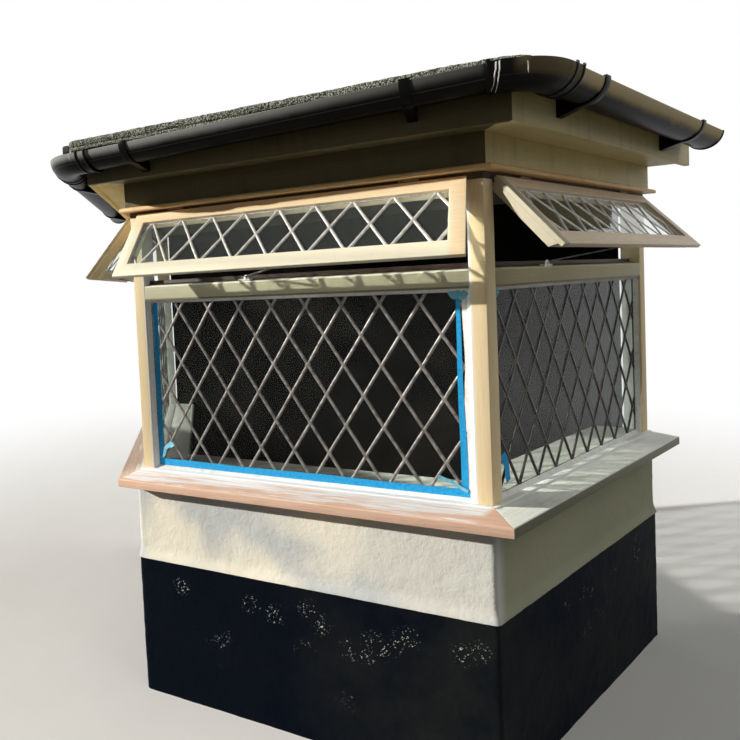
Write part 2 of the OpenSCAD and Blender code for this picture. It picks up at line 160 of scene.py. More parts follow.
def value_noise(points: Array, cell: float, seed: int = 0) -> Array:
    """Smooth noise in space.

    Each point takes the hashed values of the eight corners of its cell, blended with the
    smoothstep weights 3t^2 - 2t^3 along each axis.

    Args:
        points: array (..., 3) of places.
        cell: size of a cell.
        seed: number that changes the pattern.

    Returns:
        Values between -1 and 1, one for each point.
    """
    q = points / cell
    base = np.floor(q).astype(np.int64)
    t = q - base
    t = t * t * (3.0 - 2.0 * t)
    total = np.zeros(points.shape[:-1])
    for dx, dy, dz in np.ndindex(2, 2, 2):
        n = (base[..., 0] + dx) * 374761393 + (base[..., 1] + dy) * 668265263
        n = n + (base[..., 2] + dz) * 1442695041 + seed * 974634777
        n = (n ^ (n >> 13)) * 1274126177
        n = ((n ^ (n >> 16)) & 0xFFFFF) / float(0xFFFFF)
        w = (t[..., 0] if dx else 1 - t[..., 0]) * (t[..., 1] if dy else 1 - t[..., 1])
        total = total + n * w * (t[..., 2] if dz else 1 - t[..., 2])
    return total * 2.0 - 1.0


def layered_noise(points: Array, cell: float, octaves: int = 3, seed: int = 0) -> Array:
    """Sum of value noise, each layer half the cell and half the height of the one before.

    Args:
        points: array (..., 3) of places.
        cell: size of a cell of the first layer.
        octaves: number of layers.
        seed: number that changes the pattern.

    Returns:
        One value for each point.
    """
    layers = (value_noise(points, cell / 2 ** k, seed + k) / 2 ** k for k in range(octaves))
    return sum(layers) / 1.75


class Skin:
    """Collects grids of points into one closed mesh object."""

    def __init__(self, name: str) -> None:
        """Starts an empty skin. Args: name: name of the object that it becomes."""
        self.name = name
        self.points: List[Array] = []
        self.quads: List[Array] = []
        self.caps: List[List[int]] = []
        self.values: List[Array] = []
        self.count = 0

    def tube(self, pts: Array, value: Optional[Array] = None) -> None:
        """Adds a grid of points as a tube with closed ends.

        Face (i, j) joins points (i, j), (i, j+1), (i+1, j+1), (i+1, j), and the last column
        joins the first.

        Args:
            pts: array (rows, columns, 3).
            value: number (rows, columns) that materials read as the attribute "upper".
        """
        rows, cols = pts.shape[:2]
        idx = np.arange(rows * cols).reshape(rows, cols) + self.count
        around = np.roll(idx, -1, axis=1)
        self.quads.append(np.stack([idx[:-1], around[:-1], around[1:], idx[1:]], -1).reshape(-1, 4))
        self.caps += [idx[0, ::-1].tolist(), idx[-1].tolist()]
        self.points.append(pts.reshape(-1, 3))
        self.values.append(np.zeros(rows * cols) if value is None else value.reshape(-1))
        self.count += rows * cols

    def tubes(self, pts: Array) -> None:
        """Adds many tubes at once. Args: pts: (tubes, rows, columns, 3)."""
        for tube in pts:
            self.tube(tube)

    def finish(self, material: Material, angle: float = 60.0) -> Piece:
        """Makes the object.

        Args:
            material: its material.
            angle: edges sharper than this many degrees stay sharp.

        Returns:
            The new object, linked to the scene and riding on the root body.
        """
        mesh = bpy.data.meshes.new(self.name)
        mesh.from_pydata(np.concatenate(self.points).tolist(), [],
                         np.concatenate(self.quads).tolist() + self.caps)
        upper = mesh.attributes.new("upper", "FLOAT", "POINT")
        upper.data.foreach_set("value", np.concatenate(self.values).astype(np.float32))
        reshape(mesh, lambda bm: None)
        return dress(self.name, mesh, material, angle)


def reshape(mesh: Mesh, change: Callable[[bmesh.types.BMesh], None]) -> None:
    """Changes a mesh and turns its faces outwards. Args: mesh; change: what to do to it."""
    bm = bmesh.new()
    bm.from_mesh(mesh)
    change(bm)
    bmesh.ops.recalc_face_normals(bm, faces=bm.faces)
    bm.to_mesh(mesh)
    bm.free()


def dress(name: str, mesh: Mesh, material: Material, angle: Optional[float]) -> Piece:
    """Links a mesh as a piece of the bay.

    Args:
        name: object name.
        mesh: its finished mesh.
        material: its material.
        angle: edges sharper than this many degrees stay sharp; None leaves the faces flat.

    Returns:
        The object, riding on the root body.
    """
    if angle is None:
        mesh.shade_flat()
    else:
        mesh.shade_smooth()
        mesh.set_sharp_from_angle(angle=math.radians(angle))
    obj = bpy.data.objects.new(name, mesh)
    bpy.context.scene.collection.objects.link(obj)
    mesh.materials.clear()
    mesh.materials.append(material)
    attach(obj, "root")
    return obj


def settle(piece: Piece, slot: str = "", *nodes: str) -> None:
    """Hides the CAD nodes that a piece takes the place of, and logs the piece.

    Args:
        piece: the piece.
        slot: not used.
        *nodes: CAD nodes that it takes the place of.
    """
    if nodes:
        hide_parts(*nodes)
    log.info("%-22s %7d faces", piece.name, len(piece.data.polygons))


def merged_copy(node: str, name: str, side: Optional[Side] = None) -> Mesh:
    """Copies a CAD node's mesh with its loose triangles joined into flat faces.

    Args:
        node: the CAD node.
        name: name of the copy.
        side: keeps only the solids on this side of the middle.

    Returns:
        The closed mesh.
    """
    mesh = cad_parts[node].data.copy()
    mesh.name = name

    def merge(bm: bmesh.types.BMesh) -> None:
        """Joins doubles and flat faces. Args: bm: the mesh."""
        bmesh.ops.remove_doubles(bm, verts=bm.verts, dist=1e-5)
        if side is not None:
            other = [v for v in bm.verts if v.co.x * side.value < 0]
            bmesh.ops.delete(bm, geom=other, context="VERTS")
        bmesh.ops.dissolve_limit(bm, angle_limit=math.radians(1.0), verts=bm.verts,
                                 edges=bm.edges)

    reshape(mesh, merge)
    return mesh


def eased(node: str, name: str, material: Material, width: float, slot: str,
          side: Optional[Side] = None) -> None:
    """Copies a CAD node with its arrises eased, and lets the copy stand for it.

    Every edge of the merged copy that is sharper than 25 degrees is bevelled by the width.

    Args:
        node: the CAD node.
        name: name of the new piece.
        material: its material.
        width: width of the bevel in metres.
        slot: handed to settle, which does not use it.
        side: keeps only this side of a node that holds both.
    """
    def ease(bm: bmesh.types.BMesh) -> None:
        """Bevels the sharp edges. Args: bm: the mesh."""
        sharp = [e for e in bm.edges
                 if e.is_manifold and e.calc_face_angle(0.0) > math.radians(25)]
        bmesh.ops.bevel(bm, geom=sharp, offset=width, segments=2, profile=0.6, affect="EDGES",
                        clamp_overlap=True)

    mesh = merged_copy(node, name, side)
    reshape(mesh, ease)
    settle(dress(name, mesh, material, 35.0), slot, node)


# Node helpers
class Wiring:
    """Short calls for building a node tree."""

    def __init__(self, tree: Tree) -> None:
        """Starts wiring. Args: tree: the tree to fill."""
        self.tree = tree

    @classmethod
    def of(cls, owner: bpy.types.ID) -> "Wiring":
        """Empties the tree of a material or world. Args: owner. Returns: its wiring."""
        owner.use_nodes = True
        owner.node_tree.nodes.clear()
        return cls(owner.node_tree)

    def node(self, kind: str, **values: object) -> Node:
        """Adds a node.

        Args:
            kind: node type name without its first part, ShaderNode.
            **values: node properties, or inputs by name with spaces written as underscores.

        Returns:
            The node.
        """
        node = self.tree.nodes.new("ShaderNode" + kind)
        for key, value in values.items():
            if hasattr(node, key):
                setattr(node, key, value)
            else:
                self.put(node, key.replace("_", " "), value)
        return node

    def put(self, node: Node, name: object, value: object) -> None:
        """Sets or links one input. Args: node; name: its name or index; value: number or output."""
        socket = node.inputs[name]
        if isinstance(value, Socket):
            self.tree.links.new(value, socket)
        elif socket.type == "RGBA" and len(value) == 3:
            socket.default_value = (*value, 1.0)
        else:
            socket.default_value = value

    def chain(self, node: Node, *values: object) -> Socket:
        """Feeds the first inputs of a node. Args: node; *values. Returns: its first output."""
        for index, value in enumerate(values):
            self.put(node, index, value)
        return node.outputs[0]

    def math(self, op: str, a: object, b: object = 0.0, clamp: bool = False) -> Socket:
        """Adds a maths node. Args: op: operation; a, b: numbers or outputs; clamp. Returns: value."""
        return self.chain(self.node("Math", operation=op, use_clamp=clamp), a, b)

    def mul(self, a: object, b: object, clamp: bool = False) -> Socket:
        """Product. Args: a, b: numbers or outputs; clamp: to 0 and 1. Returns: value."""
        return self.math("MULTIPLY", a, b, clamp)

    def plus(self, a: object, b: object, clamp: bool = False) -> Socket:
        """Sum. Args: a, b: numbers or outputs; clamp: to 0 and 1. Returns: value."""
        return self.math("ADD", a, b, clamp)

    def minus(self, a: object, b: object) -> Socket:
        """Difference. Args: a, b: numbers or outputs. Returns: a - b."""
        return self.math("SUBTRACT", a, b)

    def most(self, a: object, b: object) -> Socket:
        """Larger one. Args: a, b: numbers or outputs. Returns: value."""
        return self.math("MAXIMUM", a, b)

    def vector(self, op: str, a: object, b: Triple = (0.0, 0.0, 0.0)) -> Socket:
        """Vector maths. Args: op: operation; a, b: vectors. Returns: vector, or length or product."""
        node = self.node("VectorMath", operation=op)
        first = self.chain(node, a, b)
        return node.outputs["Value"] if op in ("DOT_PRODUCT", "DISTANCE", "LENGTH") else first

    def mix(self, factor: object, a: object, b: object) -> Socket:
        """Mixes two colours. Args: factor; a, b: colours or outputs. Returns: the colour."""
        node = self.node("Mix", data_type="RGBA", clamp_factor=True)
        for index, value in ((0, factor), (6, a), (7, b)):
            self.put(node, index, value)
        return node.outputs[2]

    def over(self, colour: object, mask: Socket, other: object, share: float) -> Socket:
        """Lays a colour over another. Args: colour; mask; other; share of the mask. Returns: it."""
        return self.mix(self.mul(mask, share), colour, other)

    def ramp(self, value: object, low: float, high: float) -> Socket:
        """Smooth step from low to high. Args: value; low, high: limits. Returns: 0 to 1."""
        return self.node("MapRange", interpolation_type="SMOOTHSTEP", Value=value, From_Min=low,
                         From_Max=high).outputs[0]

    def axis(self, where: object, direction: Triple, start: float = 0.0) -> Socket:
        """Distance along a direction. Args: where; direction; start: its zero. Returns: value."""
        return self.minus(self.vector("DOT_PRODUCT", where, direction), start)

    def band(self, value: object, low: float, high: float, soft: float) -> Socket:
        """1 between two limits. Args: value; low, high; soft: width of the edges. Returns: mask."""
        return self.mul(self.ramp(value, low - soft, low + soft),
                        self.ramp(value, high + soft, high - soft))

    def noise(self, where: object, scale: object, detail: float = 4.0, rough: float = 0.55,
              warp: float = 0.0) -> Socket:
        """Noise texture. Args: where: vector; scale, detail, rough, warp. Returns: its value."""
        return self.node("TexNoise", Vector=where, Scale=scale, Detail=detail, Roughness=rough,
                         Distortion=warp).outputs[0]

    def use(self, group: Tree, **inputs: object) -> Mapping[str, Socket]:
        """Places a shared group. Args: group; **inputs: socket values. Returns: its outputs."""
        node = self.node("Group", node_tree=group)
        for key, value in inputs.items():
            self.put(node, key, value)
        return node.outputs

    def seen(self) -> Socket:
        """1 for camera, glossy and transmission rays, and 0 for the rest. Returns: mask."""
        path = self.node("LightPath").outputs
        direct = self.plus(path["Is Camera Ray"], path["Is Glossy Ray"])
        return self.plus(direct, path["Is Transmission Ray"], clamp=True)

    def blend(self, factor: Socket, a: Node, b: Node) -> Socket:
        """Mixes two shaders. Args: factor; a, b: shader nodes. Returns: the shader."""
        return self.chain(self.node("MixShader"), factor, a.outputs[0], b.outputs[0])


class Effects:
    """Node groups that several finishes share. They give masks and values only."""

    def __init__(self) -> None:
        """Builds every group once."""
        self.grain = self.group("wood_grain", self._grain, ("Fibre", "Figure"))
        self.dirt = self.group("dirt", self._dirt, Amount=0.3, Size=6.0)
        self.wear = self.group("scuffs", self._wear, Amount=0.5, Size=40.0)
        self.specks = self.group("flecks", self._specks, Scale=120.0, Share=0.08)

    @staticmethod
    def group(name: str, fill: Callable[[Wiring, Mapping[str, Socket]], Sequence[Socket]],
              outputs: Sequence[str] = ("Mask",), **values: float) -> Tree:
        """Makes a shader node group with named sockets.

        Args:
            name: group name.
            fill: wires the tree from its inputs, and gives one value for each output.
            outputs: names of the outputs.
            **values: names and usual numbers of the inputs that follow Vector.

        Returns:
            The group.
        """
        tree = bpy.data.node_groups.new(name, "ShaderNodeTree")
        new_socket = tree.interface.new_socket
        new_socket(name="Vector", in_out="INPUT", socket_type="NodeSocketVector")
        for key, value in values.items():
            socket = new_socket(name=key, in_out="INPUT", socket_type="NodeSocketFloat")
            socket.default_value = value
        for key in outputs:
            new_socket(name=key, in_out="OUTPUT", socket_type="NodeSocketFloat")
        w = Wiring(tree)
        given = tree.nodes.new("NodeGroupInput").outputs
        out = tree.nodes.new("NodeGroupOutput")
        for key, value in zip(outputs, fill(w, given)):
            w.put(out, key, value)
        return tree

    @staticmethod
    def _grain(w: Wiring, given: Mapping[str, Socket]) -> Sequence[Socket]:
        """Wood grain: noise drawn out along X. Args: w; given. Returns: fibre and figure."""
        long = w.vector("MULTIPLY", given["Vector"], (1.0, 22.0, 22.0))
        figure = w.noise(long, 2.6, 3.0, 0.5, 0.8)
        rings = w.math("SINE", w.mul(figure, 34.0))
        return w.noise(long, 16.0, 5.0, 0.62), w.plus(w.mul(rings, 0.28), figure)

    @staticmethod
    def _dirt(w: Wiring, given: Mapping[str, Socket]) -> Sequence[Socket]:
        """Dirt: soft clouds times fine rain streaks. Args: w; given. Returns: mask."""
        cloud = w.noise(given["Vector"], given["Size"], 6.0, 0.6)
        tall = w.vector("MULTIPLY", given["Vector"], (1.0, 1.0, 0.12))
        streak = w.noise(tall, 30.0, 4.0, 0.6)
        both = w.mul(w.ramp(cloud, 0.42, 0.75), w.ramp(streak, 0.35, 0.75))
        return [w.mul(both, given["Amount"], clamp=True)]

    @staticmethod
    def _wear(w: Wiring, given: Mapping[str, Socket]) -> Sequence[Socket]:
        """Chips and scuffs: sharp-edged noise. Args: w; given. Returns: mask."""
        chips = w.noise(given["Vector"], given["Size"], 8.0, 0.68)
        patch = w.noise(given["Vector"], 5.0, 2.0, 0.5)
        cut = w.minus(0.80, w.mul(given["Amount"], w.mul(patch, 0.5)))
        return [w.mul(w.minus(chips, cut), 30.0, clamp=True)]

    @staticmethod
    def _specks(w: Wiring, given: Mapping[str, Socket]) -> Sequence[Socket]:
        """Round flecks: Voronoi distance below a limit. Args: w; given. Returns: mask."""
        cells = w.node("TexVoronoi", Vector=given["Vector"], Scale=given["Scale"]).outputs
        pick = w.node("SeparateColor", Color=cells["Color"]).outputs
        few = w.math("LESS_THAN", pick[0], given["Share"])
        return [w.mul(few, w.math("LESS_THAN", cells["Distance"], w.mul(pick[1], 0.42)))]


class Bench(Wiring):
    """Wiring of one material, with its shader, its Object coordinates and the shared groups."""

    def __init__(self, mat: Material, fx: Effects) -> None:
        """Empties a material and starts it. Args: mat: the material; fx: the shared groups."""
        mat.use_nodes = True
        mat.node_tree.nodes.clear()
        super().__init__(mat.node_tree)
        self.fx = fx
        self.shader = self.node("BsdfPrincipled")
        self.where = self.node("TexCoord").outputs["Object"]

    def cloud(self, scale: float, detail: float = 4.0, rough: float = 0.55,
              warp: float = 0.0) -> Socket:
        """Noise on the Object coordinates. Args: as in noise. Returns: its value."""
        return self.noise(self.where, scale, detail, rough, warp)

    def about(self, value: Socket, middle: float, width: float) -> Socket:
        """Spreads 0 to 1 about a middle. Args: value; middle; width. Returns: value."""
        return self.plus(self.mul(value, width), middle - width / 2)

    def layers(self, colour: object, *coats: Tuple[Socket, float, float, object, float]) -> Socket:
        """Lays coats over a colour.

        Args:
            colour: the lowest colour.
            *coats: (value, low, high, colour, share); a coat shows as the value goes from low to
                high, up to its share.

        Returns:
            The colour.
        """
        for value, low, high, tone, share in coats:
            colour = self.over(colour, self.ramp(value, low, high), tone, share)
        return colour

    def coat(self, colour: object, specular: float, rough: object) -> None:
        """Feeds the shader. Args: colour; specular: 0.5 for full; rough: number or output."""
        self.put(self.shader, "Base Color", colour)
        self.put(self.shader, "Specular IOR Level", specular)
        self.put(self.shader, "Roughness", rough)

    def bump(self, height: object, strength: float, distance: float) -> None:
        """Feeds a bump to the shader. Args: height; strength; distance in metres."""
        node = self.node("Bump", Strength=strength, Distance=distance, Height=height)
        self.put(self.shader, "Normal", node.outputs[0])


@dataclass(frozen=True)
class Finish:
    """A surface finish. Subclasses fill in the shader tree."""

    name: str

    def material(self, fx: Effects) -> Material:
        """Builds the material. Args: fx: the shared groups. Returns: the material."""
        mat = bpy.data.materials.new(self.name)
        bench = Bench(mat, fx)
        self.fill(bench)
        bench.node("OutputMaterial", Surface=self.surface(bench))
        return mat

    def fill(self, b: Bench) -> None:
        """Wires the shader. Args: b: bench of the material."""
        raise NotImplementedError

    def surface(self, b: Bench) -> Socket:
        """What the output shows. Args: b: bench. Returns: the shader's output."""
        return b.shader.outputs[0]


class Grain(Enum):
    """Which way the grain of a timber piece runs, as the turn that brings it onto X."""

    ALONG_FRONT = (0.0, 0.0, 0.0)
    ALONG_RIGHT = (0.0, 0.0, -PLAN.turn)
    ALONG_LEFT = (0.0, 0.0, PLAN.turn)
    UPRIGHT = (0.0, math.radians(90.0), 0.0)


SIDE_GRAIN = {Side.LEFT: Grain.ALONG_LEFT, Side.RIGHT: Grain.ALONG_RIGHT}


@dataclass
class Wood:
    """What a timber finish has so far: coordinates along its grain, fibre, colour and height."""

    along: Socket
    fibre: Socket
    colour: Socket
    height: Socket


@dataclass(frozen=True)
class Timber(Finish):
    """Painted, primed or bare wood with grain, brush marks, scuffs and dirt."""

    paint: Triple
    dark: Triple
    under: Triple
    show_grain: float
    wear: float
    dirt: float
    grain_dir: Grain = Grain.ALONG_FRONT
    grime: Triple = (0.22, 0.19, 0.13)
    primer: Triple = (0.86, 0.84, 0.80)
    rough: float = 0.5
    relief: float = 0.35
    specular: float = 0.22

    def fill(self, b: Bench) -> None:
        """Paint over grain, then scuffs, dirt and the piece's own marks. Args: b: bench."""
        along = b.node("Mapping", Vector=b.where, Rotation=self.grain_dir.value).outputs[0]
        grain = b.use(b.fx.grain, Vector=along)
        fibre = grain["Fibre"]
        colour = b.layers(self.paint, (grain["Figure"], 0.25, 0.95, self.dark, self.show_grain),
                          (fibre, 0.52, 0.80, self.under, self.show_grain * 0.8),
                          (b.cloud(3.2, 3.0), 0.35, 0.8, self.dark, 0.22))
        chips = b.use(b.fx.wear, Vector=b.where, Amount=self.wear, Size=55.0)[0]
        colour = b.over(colour, chips, self.under, 0.75)
        height = b.minus(b.mul(fibre, 0.5 + self.show_grain), b.mul(chips, 0.6))
        dirt = b.use(b.fx.dirt, Vector=b.where, Amount=self.dirt, Size=7.0)[0]
        wood = Wood(along, fibre, b.mix(dirt, colour, self.grime), height)
        self.extra(b, wood)
        b.coat(wood.colour, self.specular, b.about(fibre, self.rough, 0.18))
        b.bump(wood.height, self.relief, 0.0012)

    def extra(self, b: Bench, wood: Wood) -> None:
        """Marks of one kind of piece; none here. Args: b: bench; wood: what they change."""


@dataclass(frozen=True)
class PrimedSill(Timber):
    """Sill with white primer brushed thickly by the frame and thinly towards the nose, and painted
    shade on the nose where it is set.
    """

    frame_y: float = -PLAN.shift_y
    nose_z: float = 0.8555
    clear_x: float = 9.0
    cover: float = 1.0
    # edge: colour of the painted shade on the nose.
    edge: Triple = (0.2, 0.18, 0.12)
    edge_share: float = 0.0

    def extra(self, b: Bench, wood: Wood) -> None:
        """Primer that thins out with the distance from the frame, and painted shade on the nose.
        Args: as in Timber.
        """
        out = b.mul(b.axis(wood.along, Y_AXIS, self.frame_y), -1.0)
        smear = b.noise(b.vector("MULTIPLY", wood.along, (1.0, 14.0, 3.0)), 4.0, 9.0, 0.68, 0.3)
        level = b.plus(b.mul(smear, 1.7), b.mul(b.cloud(5.5, 2.0), 0.6))
        level = b.minus(level, b.mul(out, 4.2))
        mask = b.ramp(level, 0.94 - 0.16 * self.cover, 1.28 - 0.16 * self.cover)
        hairs = b.noise(b.vector("MULTIPLY", wood.along, (1.6, 70.0, 20.0)), 2.2, 5.0, 0.6, 0.4)
        mask = b.mul(mask, b.plus(b.mul(b.ramp(hairs, 0.36, 0.54), 0.65), 0.35))
        mask = b.mul(mask, b.ramp(wood.fibre, 0.05, 0.35))
        mask = b.most(mask, b.ramp(b.plus(out, b.mul(smear, 0.02)), 0.034, 0.020))
        above = b.ramp(b.axis(b.where, Z_AXIS, self.nose_z), -0.002, 0.001)
        end = b.plus(b.axis(b.where, X_AXIS, self.clear_x), b.mul(out, 0.6))
        mask = b.mul(b.mul(mask, above), b.ramp(end, 0.03, 0.0))
        # Painted shade: the nose below nose_z takes the edge colour.
        colour = b.over(wood.colour, b.minus(1.0, above), self.edge, self.edge_share)
        wood.colour = b.mix(mask, colour, self.primer)
        wood.height = b.plus(wood.height, b.mul(mask, 0.6))


@dataclass(frozen=True)
class PostPaint(Timber):
    """Cream post with white primer beside the front glass and a filled joint near its top."""

    white: Triple = (0.80, 0.80, 0.78)
    edge_x: float = 0.5872
    joint_z: float = 1.9013

    def extra(self, b: Bench, wood: Wood) -> None:
        """Two white bands, one upright and one level. Args: as in Timber."""
        wander = b.mul(b.cloud(26.0, 3.0), 0.004)
        x = b.math("ABSOLUTE", b.axis(b.where, X_AXIS))
        edge = b.ramp(b.plus(x, wander), self.edge_x, self.edge_x - 0.0014)
        z = b.plus(b.plus(b.axis(b.where, Z_AXIS), wander), b.mul(x, 0.1))
        joint = b.band(z, self.joint_z, self.joint_z + 0.0037, 0.0008)
        wood.colour = b.over(wood.colour, b.most(edge, joint), self.white, 0.9)


@dataclass(frozen=True)
class TransomPaint(Timber):
    """Transom with a white top edge, a darker lower edge that is painted shade under its drip, and a
    dark upstand that is painted shade.
    """

    upstand_shade: Triple = (0.035, 0.022, 0.016)

    def extra(self, b: Bench, wood: Wood) -> None:
        """Level bands at set heights. Args: as in Timber."""
        low, top = PLAN.transom_low, PLAN.transom_top
        z = b.plus(b.axis(b.where, Z_AXIS), b.mul(b.cloud(30.0, 3.0), 0.0016))
        # Painted shade along the lower edge.
        colour = b.layers(wood.colour, (z, low + 0.0085, low + 0.0065, self.under, 0.75))
        edge = b.band(z, top - 0.0015, top + 0.003, 0.0008)
        colour = b.over(colour, edge, self.primer, 0.85)
        # Painted shade: the upstand behind the sash goes dark.
        wood.colour = b.mix(b.ramp(z, top + 0.004, top + 0.006), colour, self.upstand_shade)


@dataclass(frozen=True)
class TwoTone(Timber):
    """Painted piece that is left bare past limits (direction, start, width of the change)."""

    bare: Triple = (0.8, 0.5, 0.3)
    bare_grain: Triple = (0.7, 0.4, 0.2)
    limits: Tuple[Tuple[Triple, float, float], ...] = ()

    def extra(self, b: Bench, wood: Wood) -> None:
        """Blends to the bare tone beyond each limit. Args: as in Timber."""
        grain = b.mix(b.ramp(wood.fibre, 0.35, 0.75), self.bare, self.bare_grain)
        for direction, start, width in self.limits:
            past = b.axis(b.where, direction, start)
            wood.colour = b.layers(wood.colour, (past, 0.0, width, grain, 0.85))


@dataclass(frozen=True)
class Render(Finish):
    """Painted rough render with trowel bumps, hairline grit, stains, painted dappled shade and a
    darker right side that is painted shade with some damp.
    """

    paint: Triple
    shade: Triple
    stain: Triple
    # dappled_shade: cool tone of the painted dappled shade.
    dappled_shade: Triple
    # damp_and_shade: painted shade of the right side, with some damp in it.
    damp_and_shade: Triple = (0.36, 0.37, 0.23)
    rough: float = 0.8
    damp_and_shade_x: float = 0.632

    def fill(self, b: Bench) -> None:
        """Cloudy paint, painted dappled shade in thin patches and towards the right, painted shade
        with damp on the right side, grit and rain stains. Args: b: bench.
        """
        east = b.axis(b.where, X_AXIS)
        pits = b.cloud(150.0, 4.0, 0.7)
        # Painted shade: thin cool patches, more of them towards the right, and a darker right side.
        colour = b.layers(self.paint, (b.cloud(4.0, 6.0, 0.6), 0.35, 0.75, self.shade, 0.35),
                          (b.cloud(2.3, 2.0, 0.45, 0.3), 0.38, 0.54, self.dappled_shade, 0.9),
                          (east, 0.05, 0.40, self.dappled_shade, 0.55),
                          (east, self.damp_and_shade_x, self.damp_and_shade_x + 0.023, self.damp_and_shade, 0.8),
                          (pits, 0.58, 0.75, self.stain, 0.22))
        dirt = b.use(b.fx.dirt, Vector=b.where, Amount=0.30, Size=5.0)[0]
        b.coat(b.mix(dirt, colour, self.stain), 0.12, b.about(pits, self.rough, 0.2))
        ridge = b.math("ABSOLUTE", b.minus(b.cloud(34.0, 3.0, 0.5, 0.8), 0.5))
        height = b.plus(b.cloud(62.0, 5.0, 0.62, 0.4), b.mul(pits, 0.3))
        b.bump(b.minus(height, b.mul(ridge, 1.1)), 0.42, 0.004)


@dataclass(frozen=True)
class Bitumen(Finish):
    """Blue-black masonry paint with ragged white paint flecks and dust towards the right."""

    paint: Triple = (0.0010, 0.0028, 0.0075)
    dust: Triple = (0.0150, 0.0165, 0.0160)
    fleck: Triple = (0.70, 0.70, 0.64)
    front_y: float = -0.393
    mid_shift: float = 0.015
    rough: float = 0.57
    worn: Tuple[Tuple[float, float], ...] = (
        (-0.464, 0.446), (-0.182, 0.429), (-0.090, 0.412), (0.037, 0.463), (0.077, 0.413),
        (0.252, 0.401), (0.293, 0.378), (0.341, 0.422), (0.373, 0.436), (0.177, 0.351),
        (0.227, 0.346), (0.531, 0.419), (0.576, 0.439), (0.159, 0.166))

    def fill(self, b: Bench) -> None:
        """Black with dust, and flecks round the worn places (x, z) of the front. Args: b: bench."""
        right = b.ramp(b.axis(b.where, X_AXIS), -0.5, 0.7)
        dusty = b.mul(b.ramp(b.cloud(3.0, 6.0, 0.62), 0.30, 0.80), b.plus(right, 0.12))
        grit = b.cloud(170.0, 4.0, 0.7)
        colour = b.mix(dusty, self.paint, self.dust)
        colour = b.layers(colour, (grit, 0.60, 0.78, self.dust, 0.35))
        ragged = b.vector("ADD", b.where, b.mul(b.cloud(90.0, 4.0, 0.7), 0.03))
        near = b.mul(b.ramp(b.cloud(5.0, 3.0, 0.6), 0.64, 0.70), 0.8)
        for x, z in self.worn:
            place = (x + self.mid_shift, self.front_y + self.mid_shift, z + self.mid_shift)
            near = b.most(near, b.ramp(b.vector("DISTANCE", ragged, place), 0.045, 0.012))
        near = b.mul(near, b.ramp(b.axis(b.where, Z_AXIS), 0.05, 0.40))
        for scale, share in ((170.0, 0.30), (105.0, 0.20)):
            flecks = b.use(b.fx.specks, Vector=ragged, Scale=scale, Share=share)[0]
            colour = b.mix(b.mul(flecks, near), colour, self.fleck)
        b.coat(colour, 0.03, b.about(grit, self.rough, 0.3))
        b.bump(b.plus(b.cloud(40.0, 5.0, 0.62), b.mul(grit, 0.4)), 0.7, 0.004)


@dataclass(frozen=True)
class Metal(Finish):
    """Dull or painted metal with tarnish and fine marks."""

    colour: Triple
    tarnish: Triple
    metallic: float
    rough: float
    scale: float
    specular: float = 0.3

    def fill(self, b: Bench) -> None:
        """Tarnish clouds over metal. Args: b: bench."""
        cloud = b.cloud(self.scale, 6.0, 0.65)
        b.coat(b.mix(b.ramp(cloud, 0.35, 0.7), self.colour, self.tarnish), self.specular,
               b.about(cloud, self.rough, 0.3))
        b.put(b.shader, "Metallic", self.metallic)
        b.bump(b.cloud(self.scale * 6, 3.0), 0.25, 0.0006)


@dataclass(frozen=True)
class Glazing(Finish):
    """Old hand-cut panes: clear, a little wavy and dusty. They let lamps through."""

    tint: Triple = (0.80, 0.86, 0.84)
    dusty: Triple = (0.70, 0.74, 0.71)
    shadow: Triple = (0.94, 0.95, 0.94)
    specular: float = 0.2
    ior: float = 1.14
    clear: float = 1.0

    def fill(self, b: Bench) -> None:
        """Glass with dust in its tint and a slow wave. Args: b: bench."""
        dust = b.ramp(b.cloud(60.0, 6.0, 0.7), 0.5, 0.85)
        b.coat(b.mix(dust, self.tint, self.dusty), self.specular, 0.0)
        b.put(b.shader, "Transmission Weight", self.clear)
        b.put(b.shader, "IOR", self.ior)
        b.bump(b.cloud(9.0, 1.0), 0.06, 0.004)

    def surface(self, b: Bench) -> Socket:
        """Glass to every ray but a shadow ray. Args: b: bench. Returns: the mixed shader."""
        clear = b.node("BsdfTransparent", Color=self.shadow)
        return b.blend(b.node("LightPath").outputs["Is Shadow Ray"], b.shader, clear)


